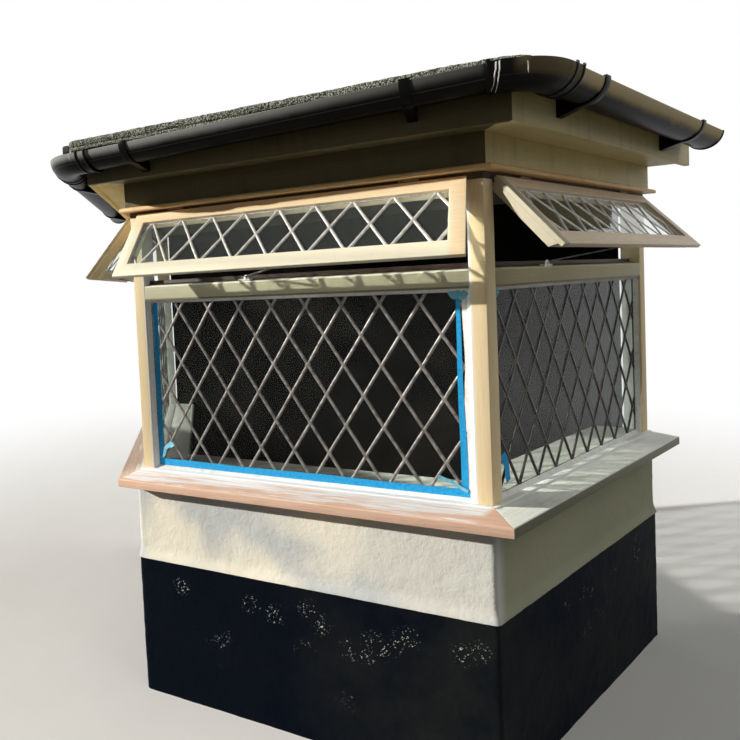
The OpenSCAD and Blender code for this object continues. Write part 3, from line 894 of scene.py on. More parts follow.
@dataclass(frozen=True)
class Moulded(Finish):
    """Moulded black rainwater goods: dust with a painted sky sheen on the upper half, a painted
    highlight line, and algae with a painted olive reflection on the right run.
    """

    colour: Triple = (0.0016, 0.0016, 0.0015)
    # dust: dust and painted sky sheen of the upper half.
    dust: Triple = (0.30, 0.305, 0.29)
    algae_and_reflection: Triple = (0.20, 0.165, 0.095)
    fleck: Triple = (0.42, 0.41, 0.36)
    dust_end: float = 0.650
    algae_and_reflection_start: float = 0.700
    rough: float = 0.32
    specular: float = 0.06

    def fill(self, b: Bench) -> None:
        """Satin black, with dust and painted sheen, a painted highlight line, and algae with painted
        reflection, all set by the mesh attribute "upper". Args: b: bench.
        """
        upper = b.node("Attribute", attribute_name="upper").outputs["Fac"]
        tall = b.plus(upper, b.mul(b.cloud(12.0, 7.0, 0.62), 0.16))
        cover = b.ramp(tall, 0.50, 0.96)
        x = b.axis(b.where, X_AXIS)
        # Dust and painted sheen on the upper half, paler towards the left.
        grey = b.mul(cover, b.ramp(x, self.dust_end, self.dust_end - 0.02))
        grey = b.mul(grey, b.ramp(x, 1.15, -0.75))
        # Algae and painted olive reflection on the right run.
        green = b.ramp(x, self.algae_and_reflection_start, self.algae_and_reflection_start + 0.04)
        green = b.mul(green, b.ramp(tall, 0.30, 0.62))
        # Painted highlight line along the gutter's face.
        line = b.mul(b.band(upper, 0.36, 0.40, 0.015), 0.10)
        colour = b.mix(b.most(b.mul(grey, 0.95), line), self.colour, self.dust)
        colour = b.over(colour, green, self.algae_and_reflection, 0.9)
        flecks = b.use(b.fx.specks, Vector=b.where, Scale=110.0, Share=0.012)[0]
        colour = b.over(colour, b.mul(flecks, cover), self.fleck, 0.6)
        b.coat(colour, self.specular, b.plus(b.mul(b.most(grey, green), 0.35), self.rough))
        b.bump(b.cloud(22.0, 3.0), 0.06, 0.002)


@dataclass(frozen=True)
class Felt(Finish):
    """Mineral felt: coarse grit with moss and dark gaps."""

    grit: Triple
    dark: Triple
    moss: Triple

    def fill(self, b: Bench) -> None:
        """Grit, gaps and moss. Args: b: bench."""
        grains = b.node("TexVoronoi", Vector=b.where, Scale=210.0).outputs["Distance"]
        cloud = b.cloud(26.0, 6.0, 0.7)
        colour = b.layers(self.grit, (grains, 0.1, 0.75, self.dark, 1.0),
                          (cloud, 0.48, 0.7, self.dark, 0.75),
                          (b.cloud(9.0, 5.0, 0.6), 0.55, 0.75, self.moss, 0.7))
        b.coat(colour, 0.06, 0.92)
        b.bump(b.plus(b.mul(grains, -0.6), cloud), 0.9, 0.004)


@dataclass(frozen=True)
class Soft(Finish):
    """Thin matt stuff such as tape or putty: one colour with crinkles."""

    colour: Triple
    other: Triple
    scale: float
    rough: float
    relief: float = 0.3

    def fill(self, b: Bench) -> None:
        """Crinkled colour. Args: b: bench."""
        crinkle = b.cloud(self.scale, 6.0, 0.65)
        b.coat(b.mix(b.ramp(crinkle, 0.4, 0.75), self.colour, self.other), 0.25,
               b.about(crinkle, self.rough, 0.2))
        b.bump(b.cloud(self.scale * 3, 3.0), self.relief, 0.001)


def rgb(red: float, green: float, blue: float) -> Triple:
    """Linear colour of a paint. Args: red, green, blue: screen values to 255. Returns: colour."""
    v = np.array([red, green, blue]) / 255.0
    return tuple(np.where(v <= 0.04045, v / 12.92, ((v + 0.055) / 1.055) ** 2.4).tolist())


# Frame line of a side sill in the coordinates along its grain
SIDE_FRAME_Y = -0.7247

# Finishes of this bay: timber as paint, darker paint and what shows under it
FRONT_SASH = TwoTone("sash_cream", rgb(250, 246, 222), rgb(238, 222, 184), rgb(206, 170, 124),
                     show_grain=0.18, wear=0.25, dirt=0.12, bare=rgb(252, 228, 186),
                     bare_grain=rgb(242, 208, 160),
                     limits=((Z_AXIS, 1.765, 0.05), (X_AXIS, 0.525, 0.03)))
# Right fanlight: the near stile's grey tone is painted shade, darker than its pale paint, against the
# strong key light; the rest is stripped timber.
RIGHT_SASH_SHADED_STILE = TwoTone("sash_stripped", rgb(184, 181, 160), rgb(196, 174, 142), rgb(168, 132, 100),
                     show_grain=0.35, wear=0.25, dirt=0.2, bare=rgb(250, 232, 206),
                     bare_grain=rgb(234, 206, 174), limits=(((0.5, 0.866, 0.0), 0.062, 0.012),))
# Window board: the dark tone past its limit, at the front, is painted shade.
BOARD_FRONT_SHADED = TwoTone("board_paint", rgb(232, 230, 222), rgb(206, 202, 188), rgb(180, 170, 150),
                show_grain=0.1, wear=0.25, dirt=0.3, rough=0.35, bare=rgb(58, 50, 44),
                bare_grain=rgb(40, 34, 30), limits=(((-0.35, -1.0, 0.0), 0.10, 0.08),))
# Ceiling lining: its white paint darkened into painted shade.
CEILING_PAINTED_SHADE = Timber("ceiling_paint", rgb(104, 98, 86), rgb(84, 78, 66), rgb(60, 54, 46),
                 show_grain=0.1, wear=0.25, dirt=0.4)
# Head rails: dark brown painted shade for the shadow gap under the mould; the rails are
# cream-painted.
HEAD_PAINTED_SHADE = Timber("head_rail_painted_shade", rgb(74, 56, 44), rgb(52, 38, 30), rgb(34, 24, 18),
              show_grain=0.3, wear=0.3, dirt=0.4, specular=0.1)
CREAM = Timber("cream_paint", rgb(244, 230, 194), rgb(224, 200, 152), rgb(170, 132, 88),
               show_grain=0.22, wear=0.35, dirt=0.25)
POST_CREAM = PostPaint("post_cream", rgb(244, 224, 182), rgb(222, 194, 146), rgb(176, 136, 94),
                       show_grain=0.25, wear=0.25, dirt=0.22)
# Transoms: darker, greyer copies of the cream paint, with painted shade and the painted tint of light
# through the fanlight glass.
TRANSOM_CREAM_SHADED = TransomPaint("transom_cream", rgb(184, 182, 154), rgb(160, 157, 128),
                             rgb(84, 78, 58), show_grain=0.2, wear=0.35, dirt=0.25,
                             primer=rgb(238, 236, 226))
TRANSOM_SIDE_SHADED = TransomPaint("transom_olive_shaded", rgb(172, 164, 128), rgb(146, 136, 102),
                            rgb(96, 84, 58), show_grain=0.2, wear=0.35, dirt=0.3,
                            primer=rgb(206, 198, 168))
EAVES = Timber("eaves_paint", rgb(232, 220, 172), rgb(204, 188, 140), rgb(110, 96, 66),
               show_grain=0.18, wear=0.3, dirt=0.4, specular=0.10)
# Front eaves: a darker copy of the eaves paint, painted shade under the gutter with some grime.
EAVES_GRIME_AND_SHADE = Timber("eaves_shade", rgb(108, 101, 74), rgb(78, 71, 50), rgb(70, 60, 42),
                    show_grain=0.18, wear=0.3, dirt=0.5, specular=0.08, grime=rgb(48, 44, 32))
MOULD_TAN = Timber("mould_tan", rgb(240, 206, 150), rgb(214, 166, 112), rgb(150, 100, 62),
                   show_grain=0.6, wear=0.2, dirt=0.2, grime=rgb(120, 96, 74))
HARDWOOD = PrimedSill("bare_hardwood", rgb(232, 196, 172), rgb(212, 170, 146), rgb(166, 112, 86),
                      show_grain=0.6, wear=0.15, dirt=0.10, grime=rgb(130, 100, 80),
                      primer=rgb(242, 244, 246), clear_x=0.615, cover=1.7)
# Right side sill: its dark nose edge is painted shade.
GREY_SILL = PrimedSill("weathered_sill", rgb(236, 240, 232), rgb(208, 210, 198),
                       rgb(120, 112, 94), show_grain=0.4, wear=0.35, dirt=0.25,
                       primer=rgb(240, 244, 240), frame_y=SIDE_FRAME_Y, cover=0.2,
                       edge=rgb(88, 86, 62), edge_share=0.95)
PALE_SILL = PrimedSill("scraped_sill", rgb(222, 196, 176), rgb(196, 162, 138), rgb(150, 112, 86),
                       show_grain=0.5, wear=0.25, dirt=0.2, primer=rgb(240, 238, 232),
                       frame_y=SIDE_FRAME_Y, cover=0.0)
DECK = Timber("deck_timber", rgb(150, 122, 88), rgb(112, 86, 58), rgb(80, 58, 38),
              show_grain=0.8, wear=0.3, dirt=0.5)
WHITE = Timber("white_paint", rgb(232, 230, 222), rgb(206, 202, 188), rgb(180, 170, 150),
               show_grain=0.1, wear=0.25, dirt=0.3, rough=0.35)
# Its dappled_shade colour is painted shade, not a colour of the render.
RENDER = Render("cream_render", paint=rgb(250, 244, 226), shade=rgb(236, 228, 206),
                stain=rgb(176, 166, 138), dappled_shade=rgb(198, 204, 206))
PLINTH = Bitumen("black_plinth_paint")
LEAD = Metal("lead", rgb(146, 142, 137), rgb(86, 82, 78), metallic=0.3, rough=0.42, scale=60.0)
# Fanlight leads: a paler copy of the lead, painted light where the sun falls on them.
LEAD_PAINTED_SUNLIT = Metal("lead_painted_sunlit", rgb(222, 220, 216), rgb(176, 172, 168), metallic=0.15, rough=0.4,
                  scale=60.0)
# Right-side leads and the lugs' eyes: a darker copy of the lead, painted shade.
LEAD_PAINTED_SHADE = Metal("lead_dark", rgb(52, 48, 42), rgb(22, 20, 17), metallic=0.3, rough=0.36,
                  scale=60.0)
IRON = Metal("black_iron", rgb(96, 94, 98), rgb(44, 40, 38), metallic=0.4, rough=0.4, scale=50.0)
WHITE_IRON = Metal("white_iron", rgb(236, 234, 226), rgb(206, 200, 188), metallic=0.0, rough=0.4,
                   scale=50.0)
STEEL = Metal("hinge_steel", rgb(158, 140, 112), rgb(112, 92, 66), metallic=0.2, rough=0.45,
              scale=60.0)
# Front run and angles: dust and painted sky sheen on the upper half.
GUTTER_BLACK = Moulded("black_gutter")
# Side runs: paler algae with a painted olive reflection.
GUTTER_OLIVE = Moulded("gutter_weathered", algae_and_reflection=(0.74, 0.62, 0.39), specular=0.03)
FELT = Felt("mineral_felt", grit=rgb(196, 198, 184), dark=rgb(66, 68, 61), moss=rgb(92, 98, 62))
PUTTY = Soft("putty", rgb(246, 246, 243), rgb(222, 222, 216), scale=45.0, rough=0.6)
TAPE = Soft("masking_tape", rgb(44, 168, 226), rgb(12, 132, 204), scale=110.0, rough=0.55,
            relief=0.5)
TAPE_PALE = Soft("tape_back", rgb(140, 206, 226), rgb(60, 160, 210), scale=150.0, rough=0.6,
                 relief=0.5)
GLASS = Glazing("glass")
GLASS_FAN = Glazing("glass_fan", specular=0.30, ior=1.33, clear=0.98)
GLASS_SIDE = Glazing("glass_side", specular=0.22, ior=1.15)


class Palette:
    """Makes each material once."""

    def __init__(self) -> None:
        """Builds the shared groups."""
        self.fx = Effects()
        self.made: Dict[str, Material] = {}

    def of(self, finish: Finish, grain: Optional[Grain] = None) -> Material:
        """Gives a finish as a material.

        Args:
            finish: the finish.
            grain: direction of the grain, for timber.

        Returns:
            The material, made at the first call and shared later.
        """
        if grain is not None:
            name = f"{finish.name}_{grain.name.lower()}"
            finish = replace(finish, name=name, grain_dir=grain)
        if finish.name not in self.made:
            self.made[finish.name] = finish.material(self.fx)
        return self.made[finish.name]


# Shapes that several parts share
def circle(angle: Array) -> Array:
    """Points of a unit circle. Args: angle: in radians. Returns: cosine and sine, (..., 2)."""
    return np.stack([np.cos(angle), np.sin(angle)], -1)


def turns(count: int) -> Array:
    """Even turns round a circle, from 0. Args: count. Returns: angles in radians."""
    return np.linspace(0.0, math.tau, count, endpoint=False)


def at_shares(track: Sequence[Tuple[float, float]], share: Array) -> Array:
    """Points of a track whose stretches count alike. Args: track; share: 0 to 1. Returns: (n, 2)."""
    given = np.array(track)
    at = np.linspace(0.0, 1.0, len(given))
    return np.stack([np.interp(share, at, given[:, i]) for i in (0, 1)], -1)


def carried(out: Array, z: Array, radius: Array, step: float) -> Tuple[Array, Array]:
    """Carries a profile round the three sides, with rounded corners.

    A corner with radius R at distance o out turns about the mitre point of the distance
    o - R, so that its points are that point plus R times a normal that swings from one side
    to the next.

    Args:
        out: distance out of each profile point.
        z: height of each profile point.
        radius: corner radius of each profile point.
        step: distance between stations on the flat sides.

    Returns:
        Points (stations, profile, 3) from the left wall end to the right one, and the
        outward normals (stations, 1, 3).
    """
    p, turn, push = PLAN, PLAN.turn, radius[:, None]

    def ways(angle: Array) -> Array:
        """Outward normals. Args: angle: from straight ahead. Returns: (n, 1, 3)."""
        return spots(np.sin(angle), -np.cos(angle))[:, None]

    def centre(k: int) -> Array:
        """Centres of one corner's rounding. Args: k: -1 left, 1 right. Returns: (P, 3)."""
        o = out - radius
        return spots(k * (p.half + o * p.miter), -o - p.shift_y, z)

    def wall_end(k: int) -> Array:
        """Profile at the house wall. Args: k: -1 left, 1 right. Returns: (P, 3)."""
        s = (p.depth + out * math.cos(turn)) / math.sin(turn)
        return spots(k * (p.half + s * math.cos(turn) + out * math.sin(turn)), p.wall_y, z)

    left, front, right = ways(np.array([-turn, 0.0, turn]))
    rows, normals = [], []
    for a, b, way, length in (
            (wall_end(-1), centre(-1) + push * left, left, p.side_len),
            (centre(-1) + push * front, centre(1) + push * front, front, 2 * p.half),
            (centre(1) + push * right, wall_end(1), right, p.side_len)):
        f = np.linspace(0.0, 1.0, int(length / step))[:, None, None]
        rows.append(a + (b - a) * f)
        normals.append(np.repeat(way[None], len(f), 0))
    swing = np.linspace(0.0, 1.0, 7)[1:-1]
    for k, at, angle in ((-1, 1, turn * (swing - 1.0)), (1, 3, turn * swing)):
        way = ways(angle)
        rows.insert(at, centre(k) + push * way)
        normals.insert(at, way)
    return np.concatenate(rows), np.concatenate(normals)


@dataclass
class RenderedWall:
    """Dwarf wall of cream render over a black plinth, with rounded corners and a kicked foot."""

    palette: Palette
    wall_out: float = 0.020
    thick: float = 0.150
    inner_out: float = -0.070
    kick_out: float = 0.012
    kick_h: float = 0.046
    plinth_h: float = 0.528
    plinth_out: float = 0.026
    gap: float = 0.001
    top: float = 0.826
    inner_top: float = 0.863
    shift: float = -0.010
    corner_r: float = 0.024
    upstand_shade_r: float = 0.002
    step: float = 0.011
    wave_cell: float = 0.35
    trowel_cell: float = 0.034

    def solid(self, name: str, finish: Finish, face: Array, back: Array, rough: float,
              wavy: float, *nodes: str) -> None:
        """Makes a wall from a closed profile.

        Each face point moves along its normal by a slow wave and a trowelled roughness.

        Args:
            name: piece name.
            finish: its finish.
            face: outer face of the profile, (n, 2) of (out, height).
            back: the rest of the profile, likewise.
            rough: height of the trowel marks.
            wavy: height of the slow waves.
            *nodes: CAD nodes that it stands for.
        """
        out, z = np.concatenate([face, back]).T
        outer = np.arange(len(z)) < len(face)
        pts, nrm = carried(out, z, np.where(outer, self.corner_r, self.upstand_shade_r), self.step)
        pts[..., 0] += self.shift
        push = (wavy * layered_noise(pts, self.wave_cell, 2, 5)
                + rough * layered_noise(pts, self.trowel_cell, 3, 11))
        pts = pts + nrm * (push * outer)[..., None]
        pts[..., 1] = np.minimum(pts[..., 1], PLAN.wall_y)
        pts[..., 2] = np.maximum(pts[..., 2], 0.0)
        skin = Skin(name)
        skin.tube(pts)
        settle(skin.finish(self.palette.of(finish), 50.0), finish.name, *nodes)

    def build(self) -> None:
        """Builds the render and the plinth in place of their nodes."""
        low, inner = self.plinth_h, self.wall_out - self.thick
        z = np.concatenate([[low, low + 0.0015, low + 0.006],
                            np.linspace(low + 0.014, self.top, 34)])
        lift = np.clip((low + self.kick_h - z) / self.kick_h, 0.0, 1.0)
        out = self.wall_out + self.kick_out * lift ** 1.6
        out[:2] -= (0.0045, 0.0015)
        back = [(self.inner_out, self.top), (self.inner_out, self.inner_top),
                (inner, self.inner_top), (inner, low)]
        self.solid("render_wall", RENDER, np.stack([out, z], -1), back, 0.0016, 0.0022,
                   "wall_front", "wall_sides")
        z = np.linspace(0.0, low - self.gap, 48)
        self.solid("plinth_wall", PLINTH, np.stack([np.full_like(z, self.plinth_out), z], -1),
                   [(inner, low - self.gap), (inner, 0.0)], 0.0013, 0.0018,
                   "plinth_front", "plinth_sides")


@dataclass
class Joinery:
    """The timber frame: sills, posts, rails, mouldings, boards and sashes, with eased arrises."""

    palette: Palette
    usual: float = 0.0016

    def build(self) -> None:
        """Builds every timber piece in place of its node; one without a grain is two, a side each."""
        front, upright, usual = Grain.ALONG_FRONT, Grain.UPRIGHT, self.usual
        on_left = {"sill_sides": PALE_SILL, "sash_sides": CREAM}
        for node, name, finish, grain, slot, ease in (
                ("sill_front", "sill_front_oiled", HARDWOOD, front, "bare_hardwood", 0.003),
                ("sill_sides", "sill", GREY_SILL, None, "weathered_sill", 0.003),
                ("corner_posts", "posts_at_corners", POST_CREAM, upright, "cream_paint", 0.002),
                ("wall_posts", "posts_at_wall", POST_CREAM, upright, "cream_paint", 0.002),
                ("transom_front", "transom_ahead", TRANSOM_CREAM_SHADED, front, "cream_paint", usual),
                ("transom_sides", "transom", TRANSOM_SIDE_SHADED, None, "cream_paint", usual),
                ("head_rail_front", "head_ahead", HEAD_PAINTED_SHADE, front, "cream_paint", usual),
                ("head_rail_sides", "head", HEAD_PAINTED_SHADE, None, "cream_paint", usual),
                ("head_mould_front", "mould_ahead", MOULD_TAN, front, "bare_timber", usual),
                ("head_mould_sides", "mould", MOULD_TAN, None, "bare_timber", usual),
                ("frieze_front", "frieze_ahead", EAVES_GRIME_AND_SHADE, front, "eaves_paint", usual),
                ("frieze_sides", "frieze", EAVES, None, "eaves_paint", usual),
                ("soffit_front", "soffit_ahead", EAVES_GRIME_AND_SHADE, front, "eaves_paint", usual),
                ("soffit_sides", "soffit", EAVES, None, "eaves_paint", usual),
                ("fascia_front", "fascia_ahead", EAVES_GRIME_AND_SHADE, front, "eaves_paint", usual),
                ("fascia_sides", "fascia", EAVES, None, "eaves_paint", usual),
                ("roof_deck", "deck_boards", DECK, front, "deck_timber", 0.001),
                ("ceiling_lining", "ceiling_board", CEILING_PAINTED_SHADE, front, "white_paint", 0.001),
                ("window_board", "inner_board", BOARD_FRONT_SHADED, front, "white_paint", 0.002),
                ("glazing_stops", "stops", WHITE, front, "white_paint", 0.001),
                ("sash_front", "fanlight_ahead", FRONT_SASH, front, "cream_paint", 0.0022),
                ("sash_sides", "fanlight", RIGHT_SASH_SHADED_STILE, None, "bare_timber", 0.0022)):
            if grain is not None:
                eased(node, name, self.palette.of(finish, grain), ease, slot)
                continue
            for side in BOTH_SIDES:
                chosen = on_left.get(node, finish) if side is Side.LEFT else finish
                eased(node, f"{name}_{side.word}", self.palette.of(chosen, SIDE_GRAIN[side]),
                      ease, slot, side)


@dataclass(frozen=True)
class Pane:
    """A flat leaded pane with its own axes, in room coordinates."""

    origin: Array
    along: Array
    depth: Array
    up: Array
    width: float
    height: float
    cross_x: float
    cross_z: float
    cell_w: float
    cell_h: float = 0.1995
    shortest: float = 0.07
    margin: float = 0.007

    def to_room(self, x: Array, d: Array, z: Array) -> Array:
        """Places pane coordinates. Args: x along; d in depth; z up. Returns: points (..., 3)."""
        x, d, z = np.broadcast_arrays(np.asarray(x, float), d, z)
        return (self.origin + x[..., None] * self.along + d[..., None] * self.depth
                + z[..., None] * self.up)

    def inside(self, x: Array, z: Array, margin: float) -> Array:
        """Tells what lies in the pane. Args: x; z; margin: kept from its edge. Returns: yes or no."""
        return ((x > margin) & (x < self.width - margin) & (z > margin)
                & (z < self.height - margin))

    def came_lines(self) -> Array:
        """Ends of every diagonal lead.

        Lead k of a direction s runs through (cross_x + k cell_w, cross_z) with slope
        s cell_h / cell_w, and is cut where it leaves the pane. Short ends are left out.

        Returns:
            Array (leads, 2 ends, 2).
        """
        n = int(self.width / self.cell_w + self.height / self.cell_h) + 3
        start = self.cross_x + np.arange(-n, n + 1) * self.cell_w
        low, high = -self.cross_z / self.cell_h, (self.height - self.cross_z) / self.cell_h
        found = []
        for s, first, last in ((1.0, low, high), (-1.0, -high, -low)):
            t0 = np.maximum(-start / self.cell_w, first)
            t1 = np.minimum((self.width - start) / self.cell_w, last)
            keep = t1 - t0 > self.shortest
            t = np.stack([t0, t1], -1)[keep]
            found.append(np.stack([start[keep, None] + t * self.cell_w,
                                   self.cross_z + s * t * self.cell_h], -1))
        return np.concatenate(found)

    def crossings(self) -> Array:
        """Places where leads cross, a little in from the edge. Returns: array (n, 2)."""
        n = int(2 * self.width / self.cell_w) + 4
        i, j = np.meshgrid(np.arange(-n, n + 1), np.arange(-n, n + 1))
        even = (i + j) % 2 == 0
        x = self.cross_x + i[even] * self.cell_w / 2
        z = self.cross_z + j[even] * self.cell_h / 2
        return np.stack([x, z], -1)[self.inside(x, z, self.margin)]


@dataclass
class LeadedLights:
    """Diamond quarries in lead cames, in the three fixed lights and the three fanlights."""

    palette: Palette
    came_mid: float = 0.027
    fan_mid: float = 0.0155
    lap: float = 0.004
    stile: float = 0.046
    rail_top: float = 0.044
    rail_low: float = 0.052
    pocket: float = 0.008
    swing: Triple = (38.0, 36.0, 41.0)
    came_w: float = 0.0102
    came_d: float = 0.0086
    tilt: float = 0.010
    glass_near: float = 0.006
    glass_past: float = 0.002
    front_cell: float = 0.1252
    side_cell: float = 0.1187
    front_cross: float = -0.006
    side_cross: float = 0.1937
    cross_z: float = 0.0085

    def opening(self, side: Side) -> Tuple[float, float, float]:
        """Clear opening of one side. Args: side. Returns: start, end and the diamonds' width."""
        if side is Side.FRONT:
            return -(PLAN.half - PLAN.post), PLAN.half - PLAN.post, self.front_cell
        return PLAN.side_post, PLAN.side_len - PLAN.post, self.side_cell

    def fixed(self, side: Side) -> Pane:
        """The fixed light of one side. Args: side. Returns: its pane."""
        a, b, cell = self.opening(side)
        origin, run, inward = PLAN.frame_of(side)
        base = origin + a * run + self.came_mid * inward + PLAN.sill_top * UP
        cross = self.side_cross - a
        if side is Side.FRONT:
            cross = (b - a) / 2 + self.front_cross + cell / 2
        return Pane(base, run, inward, UP, b - a, PLAN.transom_low - PLAN.sill_top, cross,
                    self.cross_z, cell)

    def fan(self, side: Side) -> Pane:
        """The fanlight pane of one side, swung out about its top edge.

        Args:
            side: which side.

        Returns:
            Its pane. Its depth axis leans down by the swing, and its up axis leans inwards.
        """
        a, b, cell = self.opening(side)
        origin, run, inward = PLAN.frame_of(side)
        angle = math.radians(self.swing[side.value + 1])
        depth = inward * math.cos(angle) - UP * math.sin(angle)
        rise = inward * math.sin(angle) + UP * math.cos(angle)
        width = b - a + 2 * (self.lap - self.stile + self.pocket)
        height = PLAN.sash_h - self.rail_low - self.rail_top + 2 * self.pocket
        base = (origin + (a - self.lap + self.stile - self.pocket) * run
                - PLAN.pivot_out * inward + PLAN.pivot_z * UP + self.fan_mid * depth
                + (self.rail_low - self.pocket - PLAN.sash_h) * rise)
        cross = width / 2 + (cell / 2 if side is Side.FRONT else 0.0)
        return Pane(base, run, depth, rise, width, height, cross, height / 2, cell)

    def cames(self, skin: Skin, pane: Pane) -> None:
        """Adds the leads of one pane.

        A lead is a rounded bar: across it is w/2 times the 0.55 power of the cosine, in depth
        d/2 times the 0.8 power of the sine, and its middle line wanders by under a millimetre.

        Args:
            skin: skin that takes them.
            pane: the pane.
        """
        e, w, h = self.came_w / 2, pane.width, pane.height
        rim = [[[0, e], [w, e]], [[0, h - e], [w, h - e]], [[e, 0], [e, h]], [[w - e, 0], [w - e, h]]]
        lines = np.concatenate([pane.came_lines(), rim])
        a, b = lines[:, 0], lines[:, 1]
        mid = a[:, None] + (b - a)[:, None] * np.linspace(0.0, 1.0, 22)[None, :, None]
        run = (b - a) / np.linalg.norm(b - a, axis=1, keepdims=True)
        across = np.stack([-run[:, 1], run[:, 0]], -1)[:, None, None, :]
        c, s = circle((np.arange(10) + 0.5) * math.tau / 10).T
        where = spots(mid[..., 0], np.arange(len(lines))[:, None] * 0.31, mid[..., 1])
        wander = 0.0009 * value_noise(where, 0.07, 3)[..., None]
        swell = 1.0 + 0.10 * value_noise(where, 0.03, 4)[..., None]
        flat = mid[:, :, None, :] + across * (wander + e * bent(c, 0.55) * swell)[..., None]
        depth = self.came_d / 2 * bent(s, 0.8) * swell
        skin.tubes(pane.to_room(flat[..., 0], depth, flat[..., 1]))

    def solder(self, skin: Skin, pane: Pane) -> None:
        """Adds a flat blob of solder at every crossing.

        A blob is a turned shape whose radius falls from its waist to both faces.

        Args:
            skin: skin that takes them.
            pane: the pane.
        """
        at = pane.crossings()
        radius = np.array([0.0028, 0.0055, 0.0072, 0.0072, 0.0055, 0.0028])
        height = np.array([-1.0, -0.93, -0.78, 0.78, 0.93, 1.0]) * (self.came_d / 2 + 0.0006)
        lumpy = 1.0 + 0.14 * value_noise(spots(at[:, 0], at[:, 1]), 0.01, 8)
        ring = (radius * lumpy[:, None])[..., None, None] * circle(turns(10))
        flat = at[:, None, None] + ring
        skin.tubes(pane.to_room(flat[..., 0], height[:, None], flat[..., 1]))

    def leads(self, name: str, node: str, panes: Sequence[Pane], finish: Metal) -> None:
        """Builds the leads of some panes. Args: name; node: CAD node; panes; finish."""
        skin = Skin(name)
        for pane in panes:
            self.cames(skin, pane)
            self.solder(skin, pane)
        settle(skin.finish(self.palette.of(finish)), "lead", node)

    def quarries(self, name: str, node: str, panes: Sequence[Pane], finish: Glazing) -> None:
        """Tilts every quarry of a node a little, as hand-leaded glass sits.

        A point of the cell (a, b) moves in depth by the cell's two small slopes times its
        distance from the middle of the cell.

        Args:
            name: piece name.
            node: CAD node with the glass.
            panes: the panes that the node holds.
            finish: kind of glass.
        """
        mesh = merged_copy(node, name)
        co = np.empty(len(mesh.vertices) * 3)
        mesh.vertices.foreach_get("co", co)
        co = co.reshape(-1, 3)
        for pane in panes:
            x, d, z = ((co - pane.origin) @ way for way in (pane.along, pane.depth, pane.up))
            here = (np.abs(d) < self.glass_near) & pane.inside(x, z, -self.glass_past)
            p = (x[here] - pane.cross_x) / pane.cell_w
            q = (z[here] - pane.cross_z) / pane.cell_h
            a, b = np.floor(p + q), np.floor(p - q)
            cell = spots(a, b, 3.0)
            move = self.tilt * (value_noise(cell, 1.0, 21) * (p - (a + b + 1) / 2) * pane.cell_w
                                + value_noise(cell, 1.0, 22) * (q - (a - b) / 2) * pane.cell_h)
            co[here] += move[:, None] * pane.depth
        mesh.vertices.foreach_set("co", co.ravel())
        mesh.update()
        settle(dress(name, mesh, self.palette.of(finish), None), "glass", node)

    def build(self) -> None:
        """Builds glass and leads in place of their nodes."""
        front, left, right = (self.fixed(s) for s in (Side.FRONT, Side.LEFT, Side.RIGHT))
        fans = [self.fan(s) for s in (Side.FRONT, Side.LEFT, Side.RIGHT)]
        self.leads("lead_net_front", "leads_front", [front], LEAD)
        self.leads("lead_net_left", "leads_sides", [left], LEAD)
        # The right side's leads take the lead's painted shade.
        self.leads("lead_net_right", "leads_sides", [right], LEAD_PAINTED_SHADE)
        # The fanlights' leads take the lead's painted light.
        self.leads("lead_net_fans", "fan_leads", fans, LEAD_PAINTED_SUNLIT)
        self.quarries("quarries_front", "glass_front", [front], GLASS)
        self.quarries("quarries_sides", "glass_sides", [left, right], GLASS_SIDE)
        self.quarries("quarries_fans", "fan_glass", fans, GLASS_FAN)


